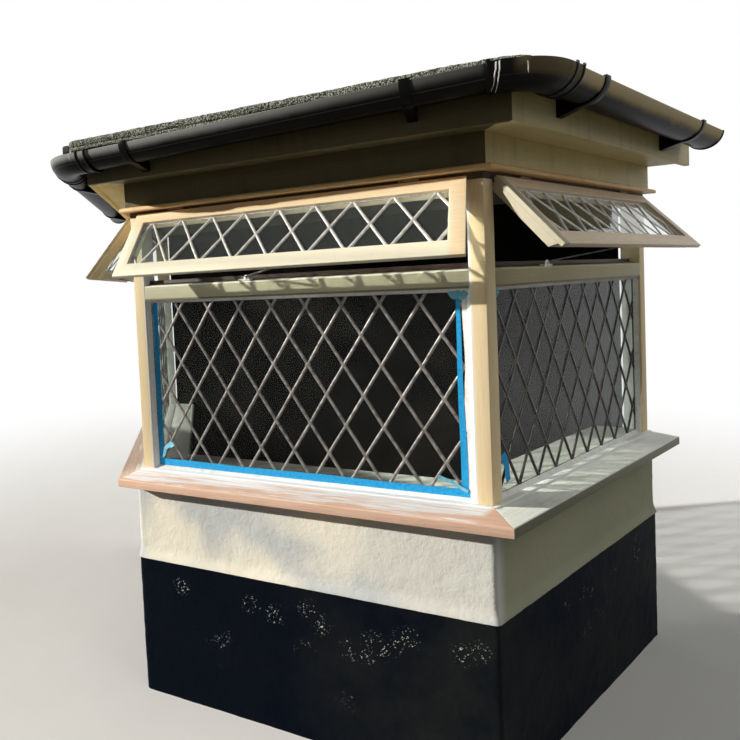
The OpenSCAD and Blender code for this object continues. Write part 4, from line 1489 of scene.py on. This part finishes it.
@dataclass
class MaskingTape:
    """Blue tape left round the front light, with loose tails at its corners."""

    palette: Palette
    pane: Pane
    side_pane: Pane
    thick: float = 0.0004
    lift: float = 0.0052
    side_w: float = 0.0215
    low_w: float = 0.030
    low_z: float = 0.0185

    def strip(self, skin: Skin, pane: Pane, path: Array, width: Array, curl: Array,
              seed: int) -> None:
        """Adds one strip.

        The strip is the path widened square to itself in the pane, lifted off the glass by
        its curl and by small crinkles, and given a thickness.

        Args:
            skin: skin that takes it.
            pane: pane that it lies on.
            path: middle line, array (n, 2) in pane coordinates.
            width: width at each point.
            curl: distance off the glass at each point.
            seed: pattern of the crinkles.
        """
        run = np.gradient(path, axis=0)
        run = run / np.linalg.norm(run, axis=1, keepdims=True)
        across = np.stack([-run[:, 1], run[:, 0]], -1)[:, None]
        wide = width * (1 + 0.05 * value_noise(spots(path[:, 0], path[:, 1]), 0.03, seed))
        flat = path[:, None] + across * (wide[:, None] * np.linspace(-0.5, 0.5, 7))[..., None]
        crinkle = layered_noise(spots(flat[..., 0], flat[..., 1]), 0.02, 2, seed)
        depth = -(self.lift + np.asarray(curl)[..., None] + 0.0007 * crinkle)
        over, under = (pane.to_room(flat[..., 0], depth - d, flat[..., 1])
                       for d in (self.thick, 0.0))
        skin.tube(np.concatenate([over, under[:, ::-1]], axis=1))

    def build(self) -> None:
        """Builds the strips, the smears of putty over them, and the loose pale tails."""
        pane, side = self.pane, self.side_pane
        w, h = pane.width, pane.height
        t, u = np.linspace(0.0, 1.0, 110), np.linspace(0.0, 1.0, 24)
        level = 0.012 + (h - 0.016) * t
        taper = self.side_w - 0.0105 * t
        right = np.stack([w - 0.0415 + taper / 2 + 0.001 * np.sin(9 * t), level], -1)
        low = np.stack([0.012 + (w - 0.030) * t, self.low_z + 0.0012 * np.sin(14 * t)], -1)
        hook = np.stack([0.036 + 0.028 * u + 0.006 * np.sin(5 * u), 0.130 - 0.085 * u], -1)
        smear = np.stack([w - 0.0115 + 0.0015 * np.sin(11 * t), 0.006 + (h - 0.010) * t], -1)
        strips = [(pane, np.stack([0.023 + 0.006 * t, level], -1), self.side_w, 0.0, 1),
                  (pane, right, taper, 0.0, 2), (pane, low, self.low_w, 0.0005, 3),
                  (side, hook, 0.030 - 0.006 * u, 0.004 + 0.006 * u, 7)]
        over = [(pane, smear, 0.021 + 0.002 * np.sin(17 * t), -0.0008, 21)]
        tails = []
        for number, (where, path, wide, wide_end, curl) in enumerate((
                (pane, ((1.133, 0.028), (1.108, 0.041), (1.087, 0.055), (1.062, 0.064),
                        (1.047, 0.071)), 0.010, 0.013, 0.012),
                (pane, ((0.026, 0.038), (0.038, 0.052), (0.045, 0.078), (0.062, 0.088),
                        (0.078, 0.100), (0.086, 0.088)), 0.009, 0.020, 0.016),
                (pane, ((1.102, 0.640), (1.112, 0.622), (1.124, 0.634), (1.134, 0.618),
                        (1.146, 0.636)), 0.022, 0.018, 0.006),
                (side, ((0.008, 0.630), (0.022, 0.620), (0.036, 0.634)), 0.020, 0.014, 0.004))):
            path = at_shares(path, u)
            path[1:-1] = (path[:-2] + 2 * path[1:-1] + path[2:]) / 4
            tails.append((where, path, wide + (wide_end - wide) * u, 0.0035 + curl * u ** 1.5,
                          11 + number))
        for name, finish, pieces in (("tape_strips", TAPE, strips), ("paint_smears", PUTTY, over),
                                     ("tape_tails", TAPE_PALE, tails)):
            skin = Skin(name)
            for piece in pieces:
                self.strip(skin, *piece)
            settle(skin.finish(self.palette.of(finish)))


# White drips on the right angle, partly painted highlights on its bend and partly dried drips: tracks
# of (distance past the bend's start, degrees), and width
HIGHLIGHT_DRIPS = (
    (((0.0058, 4.0), (0.0034, 36.0), (0.0, 58.0), (-0.0076, 86.0)), 0.0030),
    (((0.0120, 3.0), (0.0098, 39.0), (0.0074, 60.0), (0.0042, 88.0)), 0.0026),
    (((0.0560, 10.0), (0.0600, 36.0)), 0.0026),
)


@dataclass
class Gutter:
    """Half-round black gutter that falls to the left and to the wall, with rounded angles."""

    palette: Palette
    mid: float = 0.208
    r: float = 0.056
    wall: float = 0.003
    lip: float = 0.0032
    socket: float = 0.004
    collar: float = 0.007
    collar_w: float = 0.009
    collar_step: float = 0.036
    rim: float = 2.071
    fall_front: float = 0.024
    fall_side: float = 0.015
    bend_r: float = 0.146
    short_leg: float = 0.014
    long_leg: float = 0.066
    insert: float = 0.012
    wall_gap: float = 0.010
    clip_w: float = 0.028
    clip_h: float = 0.026
    lap: float = 0.0006
    hair: float = 0.0008
    lug_out: float = 0.0045
    lug_w: float = 0.0025
    lug_h: float = 0.004

    def __post_init__(self) -> None:
        """Works out where the bends end and how low the left angle lies."""
        self.bend_x = PLAN.half + (self.mid - self.bend_r) * PLAN.miter
        self.bend_s = (self.bend_r - self.mid) * PLAN.miter
        self.mouth_right = self.bend_x - self.short_leg
        self.mouth_left = -self.bend_x + self.long_leg
        self.mouth_s = self.bend_s + self.long_leg
        drop = (self.mouth_right - self.mouth_left + self.insert) * self.fall_front
        self.rims = {Side.RIGHT: self.rim, Side.LEFT: self.rim - drop}
        self.arc = circle(np.linspace(math.pi, math.tau, 37))

    def section(self) -> Array:
        """Outline of a half-round whose rim is at height 0.

        The outer arc runs from the wall side under to the outer rim, a rolled bead closes
        that rim, and the inner arc runs back.

        Returns:
            Array (n, 2) of (out, height).
        """
        bead = self.lip * circle(np.linspace(0.0, 1.35 * math.pi, 9))
        bead = bead + (self.r - self.lip, -self.lip)
        inner = (self.r - self.wall) * self.arc[::-1]
        return np.concatenate([self.r * self.arc[:-1], bead, inner[2:]]) + (self.mid, 0.0)

    def half_ring(self, outer: Array, inner: Array) -> Tuple[Array, Array]:
        """Half rings from two radii each. Args: outer; inner: (n,). Returns: reach and height."""
        both = np.concatenate([outer[:, None, None] * self.arc,
                               inner[:, None, None] * self.arc[::-1]], axis=1)
        return both[..., 0], both[..., 1]

    def upper(self, z: Array) -> Array:
        """Share of the way up from the bottom to the rim. Args: z below the rim. Returns: 0 to 1."""
        return np.clip(1.0 + z / self.r, 0.0, 1.0)

    def run(self, name: str, side: Side, a: float, b: float, finish: Finish, node: str) -> None:
        """Carries the section along a falling run.

        The rim height is the rim at the pivot less the fall times the distance from it, and a
        point at height z in the section moves along the run by z times the fall. Slow waves
        lift and lower the whole.

        Args:
            name: piece name.
            side: which side.
            a: start along the side.
            b: end along the side.
            finish: its finish.
            node: CAD node that it stands for.
        """
        if side is Side.FRONT:
            pivot, slope, level = self.mouth_right, self.fall_front, self.rim
        else:
            pivot, slope, level = self.mouth_s, -self.fall_side, self.rims[side]
        s = np.linspace(a, b, 24)[:, None]
        bob = 0.0006 * value_noise(spots(s, 0.0, float(side.value)), 0.35, 9)
        out, z = self.section().T[:, None]
        pts = PLAN.place(side, s - z * slope, -out, level + (s - pivot) * slope + z + bob)
        skin = Skin(name)
        skin.tube(pts, np.broadcast_to(self.upper(z), pts.shape[:2]))
        settle(skin.finish(self.palette.of(finish), 40.0), "black_gutter", node)

    def path(self, k: int, mouths: Tuple[float, float]) -> Tuple[Array, Array, Array]:
        """Middle line of one angle, from its front mouth round the bend to its side mouth.

        Args:
            k: -1 left, 1 right.
            mouths: length of the socket on the front and on the side.

        Returns:
            Places (n, 2), outward normals (n, 2), and 1 on the sockets and 0 on the bend.
        """
        run = circle(np.linspace(0.0, PLAN.turn, 15))
        normal = np.stack([run[:, 1], -run[:, 0]], -1)
        bend = np.array([self.bend_x, self.bend_r - self.mid]) + self.bend_r * normal
        head = [bend[0] - run[0] * d for d in (mouths[0], self.hair)]
        tail = [bend[-1] + run[-1] * d for d in (self.hair, mouths[1])]
        normals = np.concatenate([normal[:1]] * 2 + [normal] + [normal[-1:]] * 2)
        thick = np.pad(np.zeros(len(bend)), 2, constant_values=1.0)
        return np.concatenate([head, bend, tail]) * (k, 1.0), normals * (k, 1.0), thick

    def angle(self, skin: Skin, side: Side, mouths: Tuple[float, float]) -> None:
        """Adds one angle: two sockets, the bend between them and the collars.

        Every section point at (out, z) lies at the middle line plus (out - mid) times the
        normal there, at height z above the rim.

        Args:
            skin: skin that takes it.
            side: left or right.
            mouths: length of the socket on the front and on the side.
        """
        k, level = side.value, self.rims[side]
        places, normals, thick = self.path(k, mouths)
        thin = 0.0005 * (1.0 - thick)
        reach, z = self.half_ring(self.r + self.socket - thin, self.r + 0.0002 + thin)
        xy = places[:, None, :] + normals[:, None, :] * reach[..., None]
        skin.tube(spots(xy[..., 0], xy[..., 1] - PLAN.shift_y, level + z), self.upper(z))
        for where, start, turn, long in ((Side.FRONT, k * self.bend_x, -k, mouths[0]),
                                         (side, self.bend_s, 1, mouths[1])):
            for d in (0.0, self.collar_step):
                if long > d + self.collar_w:
                    a = start + turn * (long - d)
                    self.band(skin, where, level, a - turn * self.collar_w, a)

    def band(self, skin: Skin, side: Side, level: float, a: float, b: float) -> None:
        """Adds a collar with a crowned face, and the lug at its front edge.

        Across its width v from -1 to 1 the collar stands out by its height times
        (1 - v^4)^0.5.

        Args:
            skin: skin that takes it.
            side: which side.
            level: height of the rim.
            a: one edge along the side.
            b: other edge.
        """
        v = np.array([-1.0, -0.97, -0.85, -0.5, 0.0, 0.5, 0.85, 0.97, 1.0])
        s = (a + b) / 2 + v * (b - a) / 2
        proud = (self.collar - self.socket + self.lap) * np.sqrt(1.0 - v ** 4)
        base = np.full_like(v, self.r + 0.002)
        reach, z = self.half_ring(self.r + self.socket - self.lap + proud, base)
        skin.tube(PLAN.place(side, s[:, None], -(self.mid + reach), level + z))
        c, n = circle(turns(16)).T
        out = self.mid + self.r + self.lug_out + self.lug_w * bent(c, 0.5)
        up = level + 0.001 + self.lug_h * bent(n, 0.5)
        skin.tube(PLAN.place(side, np.linspace(a, b, 3)[:, None], -out, up))

    def clip(self, skin: Skin) -> None:
        """Adds the sprung clip of the left angle: a strap over the rim with a rolled top.

        Args:
            skin: skin that takes it.
        """
        c, n = circle(turns(28)).T
        out = self.mid + self.r + self.socket / 2 * (1 + 0.96 * bent(c, 0.5))
        x = -self.bend_x - np.linspace(0.0, self.clip_w, 9)[:, None]
        edge = np.linspace(-1.0, 1.0, 9)[:, None]
        z = self.rims[Side.LEFT] + self.clip_h / 2 * (1 + bent(n, 0.35))
        z = z - 0.004 * edge ** 6 * np.clip(n, 0, 1)
        skin.tube(PLAN.place(Side.FRONT, x, -out, z))

    def drip(self, skin: Skin, track: Sequence[Tuple[float, float]], width: float) -> None:
        """Adds a white drip on the outer face of the right angle, partly a painted highlight.

        A track point is (d, t): the distance along the middle line past the start of the bend,
        and the angle below the rim. At d above 0 the point turns about the bend's centre by
        d over its radius. The drip tapers to two fifths of its width.

        Args:
            skin: skin that takes it.
            track: places from the top down, in metres and degrees.
            width: its width at the top.
        """
        f = np.linspace(0.0, 1.0, 18)
        d, t = at_shares(track, f).T
        t = np.radians(t)
        d = d + 0.0008 * value_noise(spots(t, d * 9), 0.12, 13)
        across, proud = np.array([(-1, 0.0), (0, 0.0008), (1, 0.0), (0, -0.0014)]).T
        reach = self.r + self.socket + 0.0004 + proud
        here = d[:, None] + across * (width / 2 * (1.0 - 0.6 * f))[:, None]
        turn = np.clip(here, 0.0, None) / self.bend_r
        r = self.bend_r + reach * np.cos(t)[:, None]
        skin.tube(spots(self.bend_x + np.minimum(here, 0.0) + r * np.sin(turn),
                        self.bend_r - self.mid - PLAN.shift_y - r * np.cos(turn),
                        self.rim - reach * np.sin(t)[:, None]))

    def build(self) -> None:
        """Builds the gutters and dresses their fittings."""
        black = self.palette.of(GUTTER_BLACK)
        self.run("gutter_run_front", Side.FRONT, self.mouth_left - self.insert,
                 self.mouth_right + self.insert, GUTTER_BLACK, "gutter_front")
        for side in BOTH_SIDES:
            self.run(f"gutter_run_{side.word}", side, self.mouth_s - self.insert,
                     PLAN.side_len - self.wall_gap, GUTTER_OLIVE, "gutter_sides")
            skin = Skin(f"gutter_angle_{side.word}")
            first = self.long_leg if side is Side.LEFT else self.short_leg
            self.angle(skin, side, (first, self.long_leg))
            if side is Side.LEFT:
                self.clip(skin)
            settle(skin.finish(black, 30.0), "black_gutter", "gutter_angles")
        for node, name in (("gutter_brackets", "bracket_straps"), ("gutter_stops", "stop_ends")):
            eased(node, name, black, 0.0009, "black_gutter")
        # White drips that stand partly for painted highlights on the right angle.
        skin = Skin("highlight_drips")
        for track, width in HIGHLIGHT_DRIPS:
            self.drip(skin, track, width)
        settle(skin.finish(self.palette.of(PUTTY)))


@dataclass
class FeltRoof:
    """Flat felt roof with a thick, lumpy gritted edge and a lip that hangs in the gutters."""

    palette: Palette
    low: float = 2.080
    sheet: float = 0.010
    reach: float = 0.192
    edge_in: float = 0.140
    top: float = 2.112
    lip_out: float = 0.189
    lip_in: float = 0.158
    lip_low: float = 2.069
    corner_r: float = 0.03
    slump_r: float = 0.05

    def slab(self) -> None:
        """Makes the sheet over the whole roof.

        Row v lies at the depth y(v), and its half width grows evenly from the front mitre to
        the wall. The top is lifted by soft waves, and the bottom is flat.
        """
        p, o = PLAN, self.reach - 0.006
        y = np.linspace(-o, p.depth - 0.001, 90)[:, None]
        near = p.half + o * p.miter
        far = p.half + (p.depth + o * math.cos(p.turn)) / math.tan(p.turn) + o * math.sin(p.turn)
        x = (near + (y + o) / (p.depth + o) * (far - near)) * np.linspace(-1.0, 1.0, 180)
        where = spots(x, y - p.shift_y)
        lift = 0.0012 * layered_noise(where, 0.16, 2, 31) + 0.0006 * value_noise(where, 0.02, 33)
        upper, lower = (where + z[..., None] * UP
                        for z in (self.low + self.sheet + lift, np.full_like(x, self.low + 0.0002)))
        self.laid("felt_sheet", np.concatenate([upper, lower[:, ::-1]], axis=1))

    def roll(self, name: str, low: Tuple[float, float], high: Tuple[float, float], count: int,
             lump: float, step: float, slump: float = 0.0) -> None:
        """Carries a lumpy superellipse round the three sides.

        The outline is (c^0.5, s^0.6) of the turn, moved out and in by layered noise. Round the
        right corner its top sinks by the slump, as the softened felt has there.

        Args:
            name: piece name.
            low: its inner distance from the post face, and its bottom.
            high: its outer distance, and its top.
            count: points round the outline.
            lump: height of the lumps.
            step: distance between stations.
            slump: how far the top sinks at the right corner.
        """
        turn = circle(turns(count))
        (o_in, z_low), (o_out, z_top) = low, high
        out = (o_out + o_in) / 2 + (o_out - o_in) / 2 * bent(turn[:, 0], 0.5)
        z = (z_top + z_low) / 2 + (z_top - z_low) / 2 * bent(turn[:, 1], 0.6)
        pts, nrm = carried(out, z, np.full(count, self.corner_r), step)
        bumps = layered_noise(pts, 0.016, 3, 41) + 0.5 * value_noise(pts, 0.09, 43)
        pits = -np.clip(value_noise(pts, 0.011, 47) - 0.25, 0.0, 1.0)
        swell = nrm * turn[:, :1] + UP * turn[:, 1:]
        pts = pts + swell * (lump * (bumps - 1.0 + 1.6 * pits))[..., None]
        corner = (PLAN.half + o_out * PLAN.miter, -o_out - PLAN.shift_y)
        near = np.exp(-(np.linalg.norm(pts[..., :2] - corner, axis=-1) / self.slump_r) ** 2)
        pts[..., 2] -= slump * near * (pts[..., 2] - z_low) / (z_top - z_low)
        pts[..., 1] = np.minimum(pts[..., 1], PLAN.wall_y)
        self.laid(name, pts)

    def laid(self, name: str, pts: Array) -> None:
        """Lays one piece of felt in place of the node. Args: name; pts: its grid."""
        skin = Skin(name)
        skin.tube(pts)
        settle(skin.finish(self.palette.of(FELT)), "mineral_felt", "roof_felt")

    def build(self) -> None:
        """Builds the sheet, its edge and its lip."""
        self.slab()
        self.roll("felt_edge", (self.edge_in, self.low), (self.reach, self.top), 26, 0.0022,
                  0.0055, 0.008)
        self.roll("felt_lip", (self.lip_in, self.lip_low), (self.lip_out, self.low + 0.006), 14,
                  0.0012, 0.011)


@dataclass
class Fittings:
    """Putty, stays, pins and hinges, with eased edges, and the keeper lugs."""

    palette: Palette
    lug_r: float = 0.0105
    lug_rise: float = 0.0120
    eye_r: float = 0.0036
    base_z: float = 1.5775
    base_in: float = 0.004

    def build(self) -> None:
        """Dresses each fitting in place of its node."""
        for node, name, finish, ease in (("putty_beads", "putty_fillets", PUTTY, 0.0012),
                                         ("casement_stays", "stays", IRON, 0.0010),
                                         ("stay_pins", "pins", WHITE_IRON, 0.0010),
                                         ("sash_hinges", "hinges", STEEL, 0.0006)):
            eased(node, name, self.palette.of(finish), ease, finish.name)
        self.lugs()

    def lugs(self) -> None:
        """White keeper lugs on the transoms, each an upright plate with a dark eye that is painted
        shade for its hole.

        The outline of a lug is a half circle over a foot that widens as the square of the
        distance below the circle's middle. The eye is a short open tube let into its face.
        """
        plates, eyes = Skin("keeper_lugs"), Skin("keeper_eyes")
        foot = np.linspace(0.0, 1.0, 6)[1:]
        rise, flare = self.lug_rise * (1 - foot), self.lug_r * (1 + foot ** 2)
        middle = (0.0, self.lug_rise)
        plate = np.concatenate([self.lug_r * circle(np.linspace(0.0, math.pi, 15)) + middle,
                                np.stack([-flare, rise], -1), np.stack([flare, rise], -1)[::-1]])
        eye = self.eye_r * circle(turns(16)) + middle
        for side, along in ((Side.FRONT, -0.1480), (Side.RIGHT, 0.3700), (Side.LEFT, 0.3700)):
            for skin, outline, rings in (
                    (plates, plate, ((0.90, 0.0), (1.0, 0.0010), (1.0, 0.0048), (0.90, 0.0058))),
                    (eyes, eye, ((1.0, -0.0004), (1.0, 0.0020)))):
                size, depth = np.array(rings).T[..., None]
                skin.tube(PLAN.place(side, along + outline[:, 0] * size, self.base_in + depth,
                                     self.base_z + outline[:, 1] * size))
        # The eyes take the lead's painted shade.
        for skin, finish in ((plates, WHITE_IRON), (eyes, LEAD_PAINTED_SHADE)):
            settle(skin.finish(self.palette.of(finish), 40.0))


@dataclass
class Studio:
    """Pale floor, soft light, dark room card and the photograph's camera."""

    eye: Triple = (0.6702, -2.0804, 1.5596)
    yaw: float = 24.281
    pitch: float = -2.233
    roll: float = -2.764
    lens: float = 26.44
    shift: Tuple[float, float] = (0.1500, -0.0850)
    sun_from: Triple = (-1.85, -1.0, 0.79)
    sun: float = 5.3
    fill_from: Triple = (0.82, 0.10, 0.66)
    fill: float = 0.75
    sky: float = 0.10
    net_away: float = 0.5
    net_clear: Triple = (0.60, 0.60, 0.60)
    net_start: float = -0.03
    net_fade: float = 0.05
    net_top: float = 2.2
    floor_reach: float = 60.0
    card_half: float = 1.115
    card_top: float = 1.935

    @staticmethod
    def link(name: str, data: bpy.types.ID) -> Piece:
        """Links an object to the scene. Args: name; data: what it shows. Returns: the object."""
        obj = bpy.data.objects.new(name, data)
        bpy.context.scene.collection.objects.link(obj)
        return obj

    def card(self, name: str, corners: Sequence[Sequence[float]], material: str
             ) -> Tuple[Piece, Wiring, Socket]:
        """Makes a flat card that belongs to the stage.

        Args:
            name: object name.
            corners: its four corners.
            material: name of its material.

        Returns:
            The card, the wiring of its empty material and the material's Object coordinates.
        """
        mesh = bpy.data.meshes.new(name)
        mesh.from_pydata(corners, [], [(0, 1, 2, 3)])
        card = self.link(name, mesh)
        mat = bpy.data.materials.new(material)
        mesh.materials.append(mat)
        w = Wiring.of(mat)
        return card, w, w.node("TexCoord").outputs["Object"]

    def camera(self) -> None:
        """Places the camera with its yaw, pitch and roll about its own axes."""
        yaw, pitch, roll = (math.radians(a) for a in (self.yaw, self.pitch, self.roll))
        ahead = Vector((-math.sin(yaw) * math.cos(pitch), math.cos(yaw) * math.cos(pitch),
                        math.sin(pitch)))
        right = Vector((math.cos(yaw), math.sin(yaw), 0.0))
        up = right.cross(ahead)
        right, up = (math.cos(roll) * right + math.sin(roll) * up,
                     -math.sin(roll) * right + math.cos(roll) * up)
        data = bpy.data.cameras.new("photo_camera")
        data.sensor_width, data.lens = 36.0, self.lens
        data.shift_x, data.shift_y = self.shift
        data.clip_start, data.clip_end = 0.05, 200.0
        cam = self.link("photo_camera", data)
        turn = Matrix((right, up, -ahead)).transposed().to_4x4()
        cam.matrix_world = Matrix.Translation(self.eye) @ turn
        bpy.context.scene.camera = cam

    def lamps(self) -> None:
        """A key lamp from the far left, a wide fill lamp from the right, and an even sky."""
        for name, place, energy, angle, colour in (
                ("key_lamp", self.sun_from, self.sun, 1.0, (1.0, 0.96, 0.89)),
                ("fill_lamp", self.fill_from, self.fill, 60.0, (1.0, 0.98, 0.92))):
            data = bpy.data.lights.new(name, "SUN")
            data.energy, data.angle, data.color = energy, math.radians(angle), colour
            data.cycles.use_multiple_importance_sampling = name == "fill_lamp"
            toward = Vector(place).to_track_quat("Z", "Y")
            self.link(name, data).rotation_euler = toward.to_euler()
        world = bpy.data.worlds.new("studio_sky")
        bpy.context.scene.world = world
        w = Wiring.of(world)
        light = w.node("Background", Color=(0.93, 0.97, 1.0), Strength=self.sky)
        white = w.node("Background", Color=(1.0, 1.0, 1.0), Strength=1.0)
        w.node("OutputWorld", Surface=w.blend(w.seen(), light, white))

    def net(self) -> None:
        """Thin net between the key lamp and the left side, which it would overexpose.

        Its outline is the left side moved towards the lamp: corner + net_away * sun_from. It
        is there for shadow rays only and fades out at the front corner.
        """
        corner, run, _ = PLAN.frame_of(Side.LEFT)
        away = self.net_away * np.array(self.sun_from)
        along = np.array([self.net_start, PLAN.side_len, PLAN.side_len, self.net_start])
        z = np.array([0.0, 0.0, self.net_top, self.net_top])
        points = PLAN.place(Side.LEFT, along, 0.0, z) + away
        net, w, where = self.card("lamp_net", points.tolist(), "lamp_net")
        net.visible_camera = net.visible_diffuse = False
        net.visible_glossy = net.visible_transmission = False
        past = w.axis(where, run.tolist(), float((corner + away) @ run))
        fade = w.ramp(past, self.net_start, self.net_fade)
        clear = w.node("BsdfTransparent", Color=w.mix(fade, (1.0, 1.0, 1.0), self.net_clear))
        w.node("OutputMaterial", Surface=clear.outputs[0])

    def floor(self) -> None:
        """Pale floor that fades to white far from the bay."""
        r = self.floor_reach
        corners = [(-r, -r, 0.0), (r, -r, 0.0), (r, r, 0.0), (-r, r, 0.0)]
        _, w, where = self.card("floor", corners, "pale_floor")
        seen = w.seen()
        pale = w.mix(w.noise(where, 3.0, 3.0), (0.84, 0.835, 0.82), (0.90, 0.895, 0.885))
        shader = w.node("BsdfDiffuse", Color=w.mix(seen, (0.12, 0.112, 0.10), pale))
        fade = w.mul(w.ramp(w.vector("LENGTH", where), 1.8, 6.0), seen)
        w.node("OutputMaterial", Surface=w.blend(fade, shader, w.node("Emission")))

    def room_card(self) -> None:
        """Dark card across the open back, for the unlit room. It is clear from behind."""
        y, r, top = PLAN.wall_y - 0.004, self.card_half, self.card_top
        corners = [(-r, y, 0.001), (r, y, 0.001), (r, y, top), (-r, y, top)]
        _, w, where = self.card("room_shade", corners, "room_dark")
        cloud = w.ramp(w.noise(where, 1.6, 3.0, 0.6), 0.35, 0.75)
        colour = w.mix(cloud, (0.0035, 0.003, 0.0027), (0.020, 0.017, 0.015))
        behind = w.node("NewGeometry").outputs["Backfacing"]
        w.node("OutputMaterial", Surface=w.blend(behind, w.node("BsdfDiffuse", Color=colour),
                                                 w.node("BsdfTransparent")))

    def build(self) -> None:
        """Builds the studio."""
        self.camera()
        self.lamps()
        self.net()
        self.floor()
        self.room_card()


def main() -> None:
    """Builds the whole picture in order."""
    bpy.context.scene.view_settings.view_transform = "Standard"
    Studio().build()
    palette = Palette()
    RenderedWall(palette).build()
    Joinery(palette).build()
    lights = LeadedLights(palette)
    lights.build()
    MaskingTape(palette, lights.fixed(Side.FRONT), lights.fixed(Side.RIGHT)).build()
    Fittings(palette).build()
    Gutter(palette).build()
    FeltRoof(palette).build()


if __name__ == "__main__":
    main()
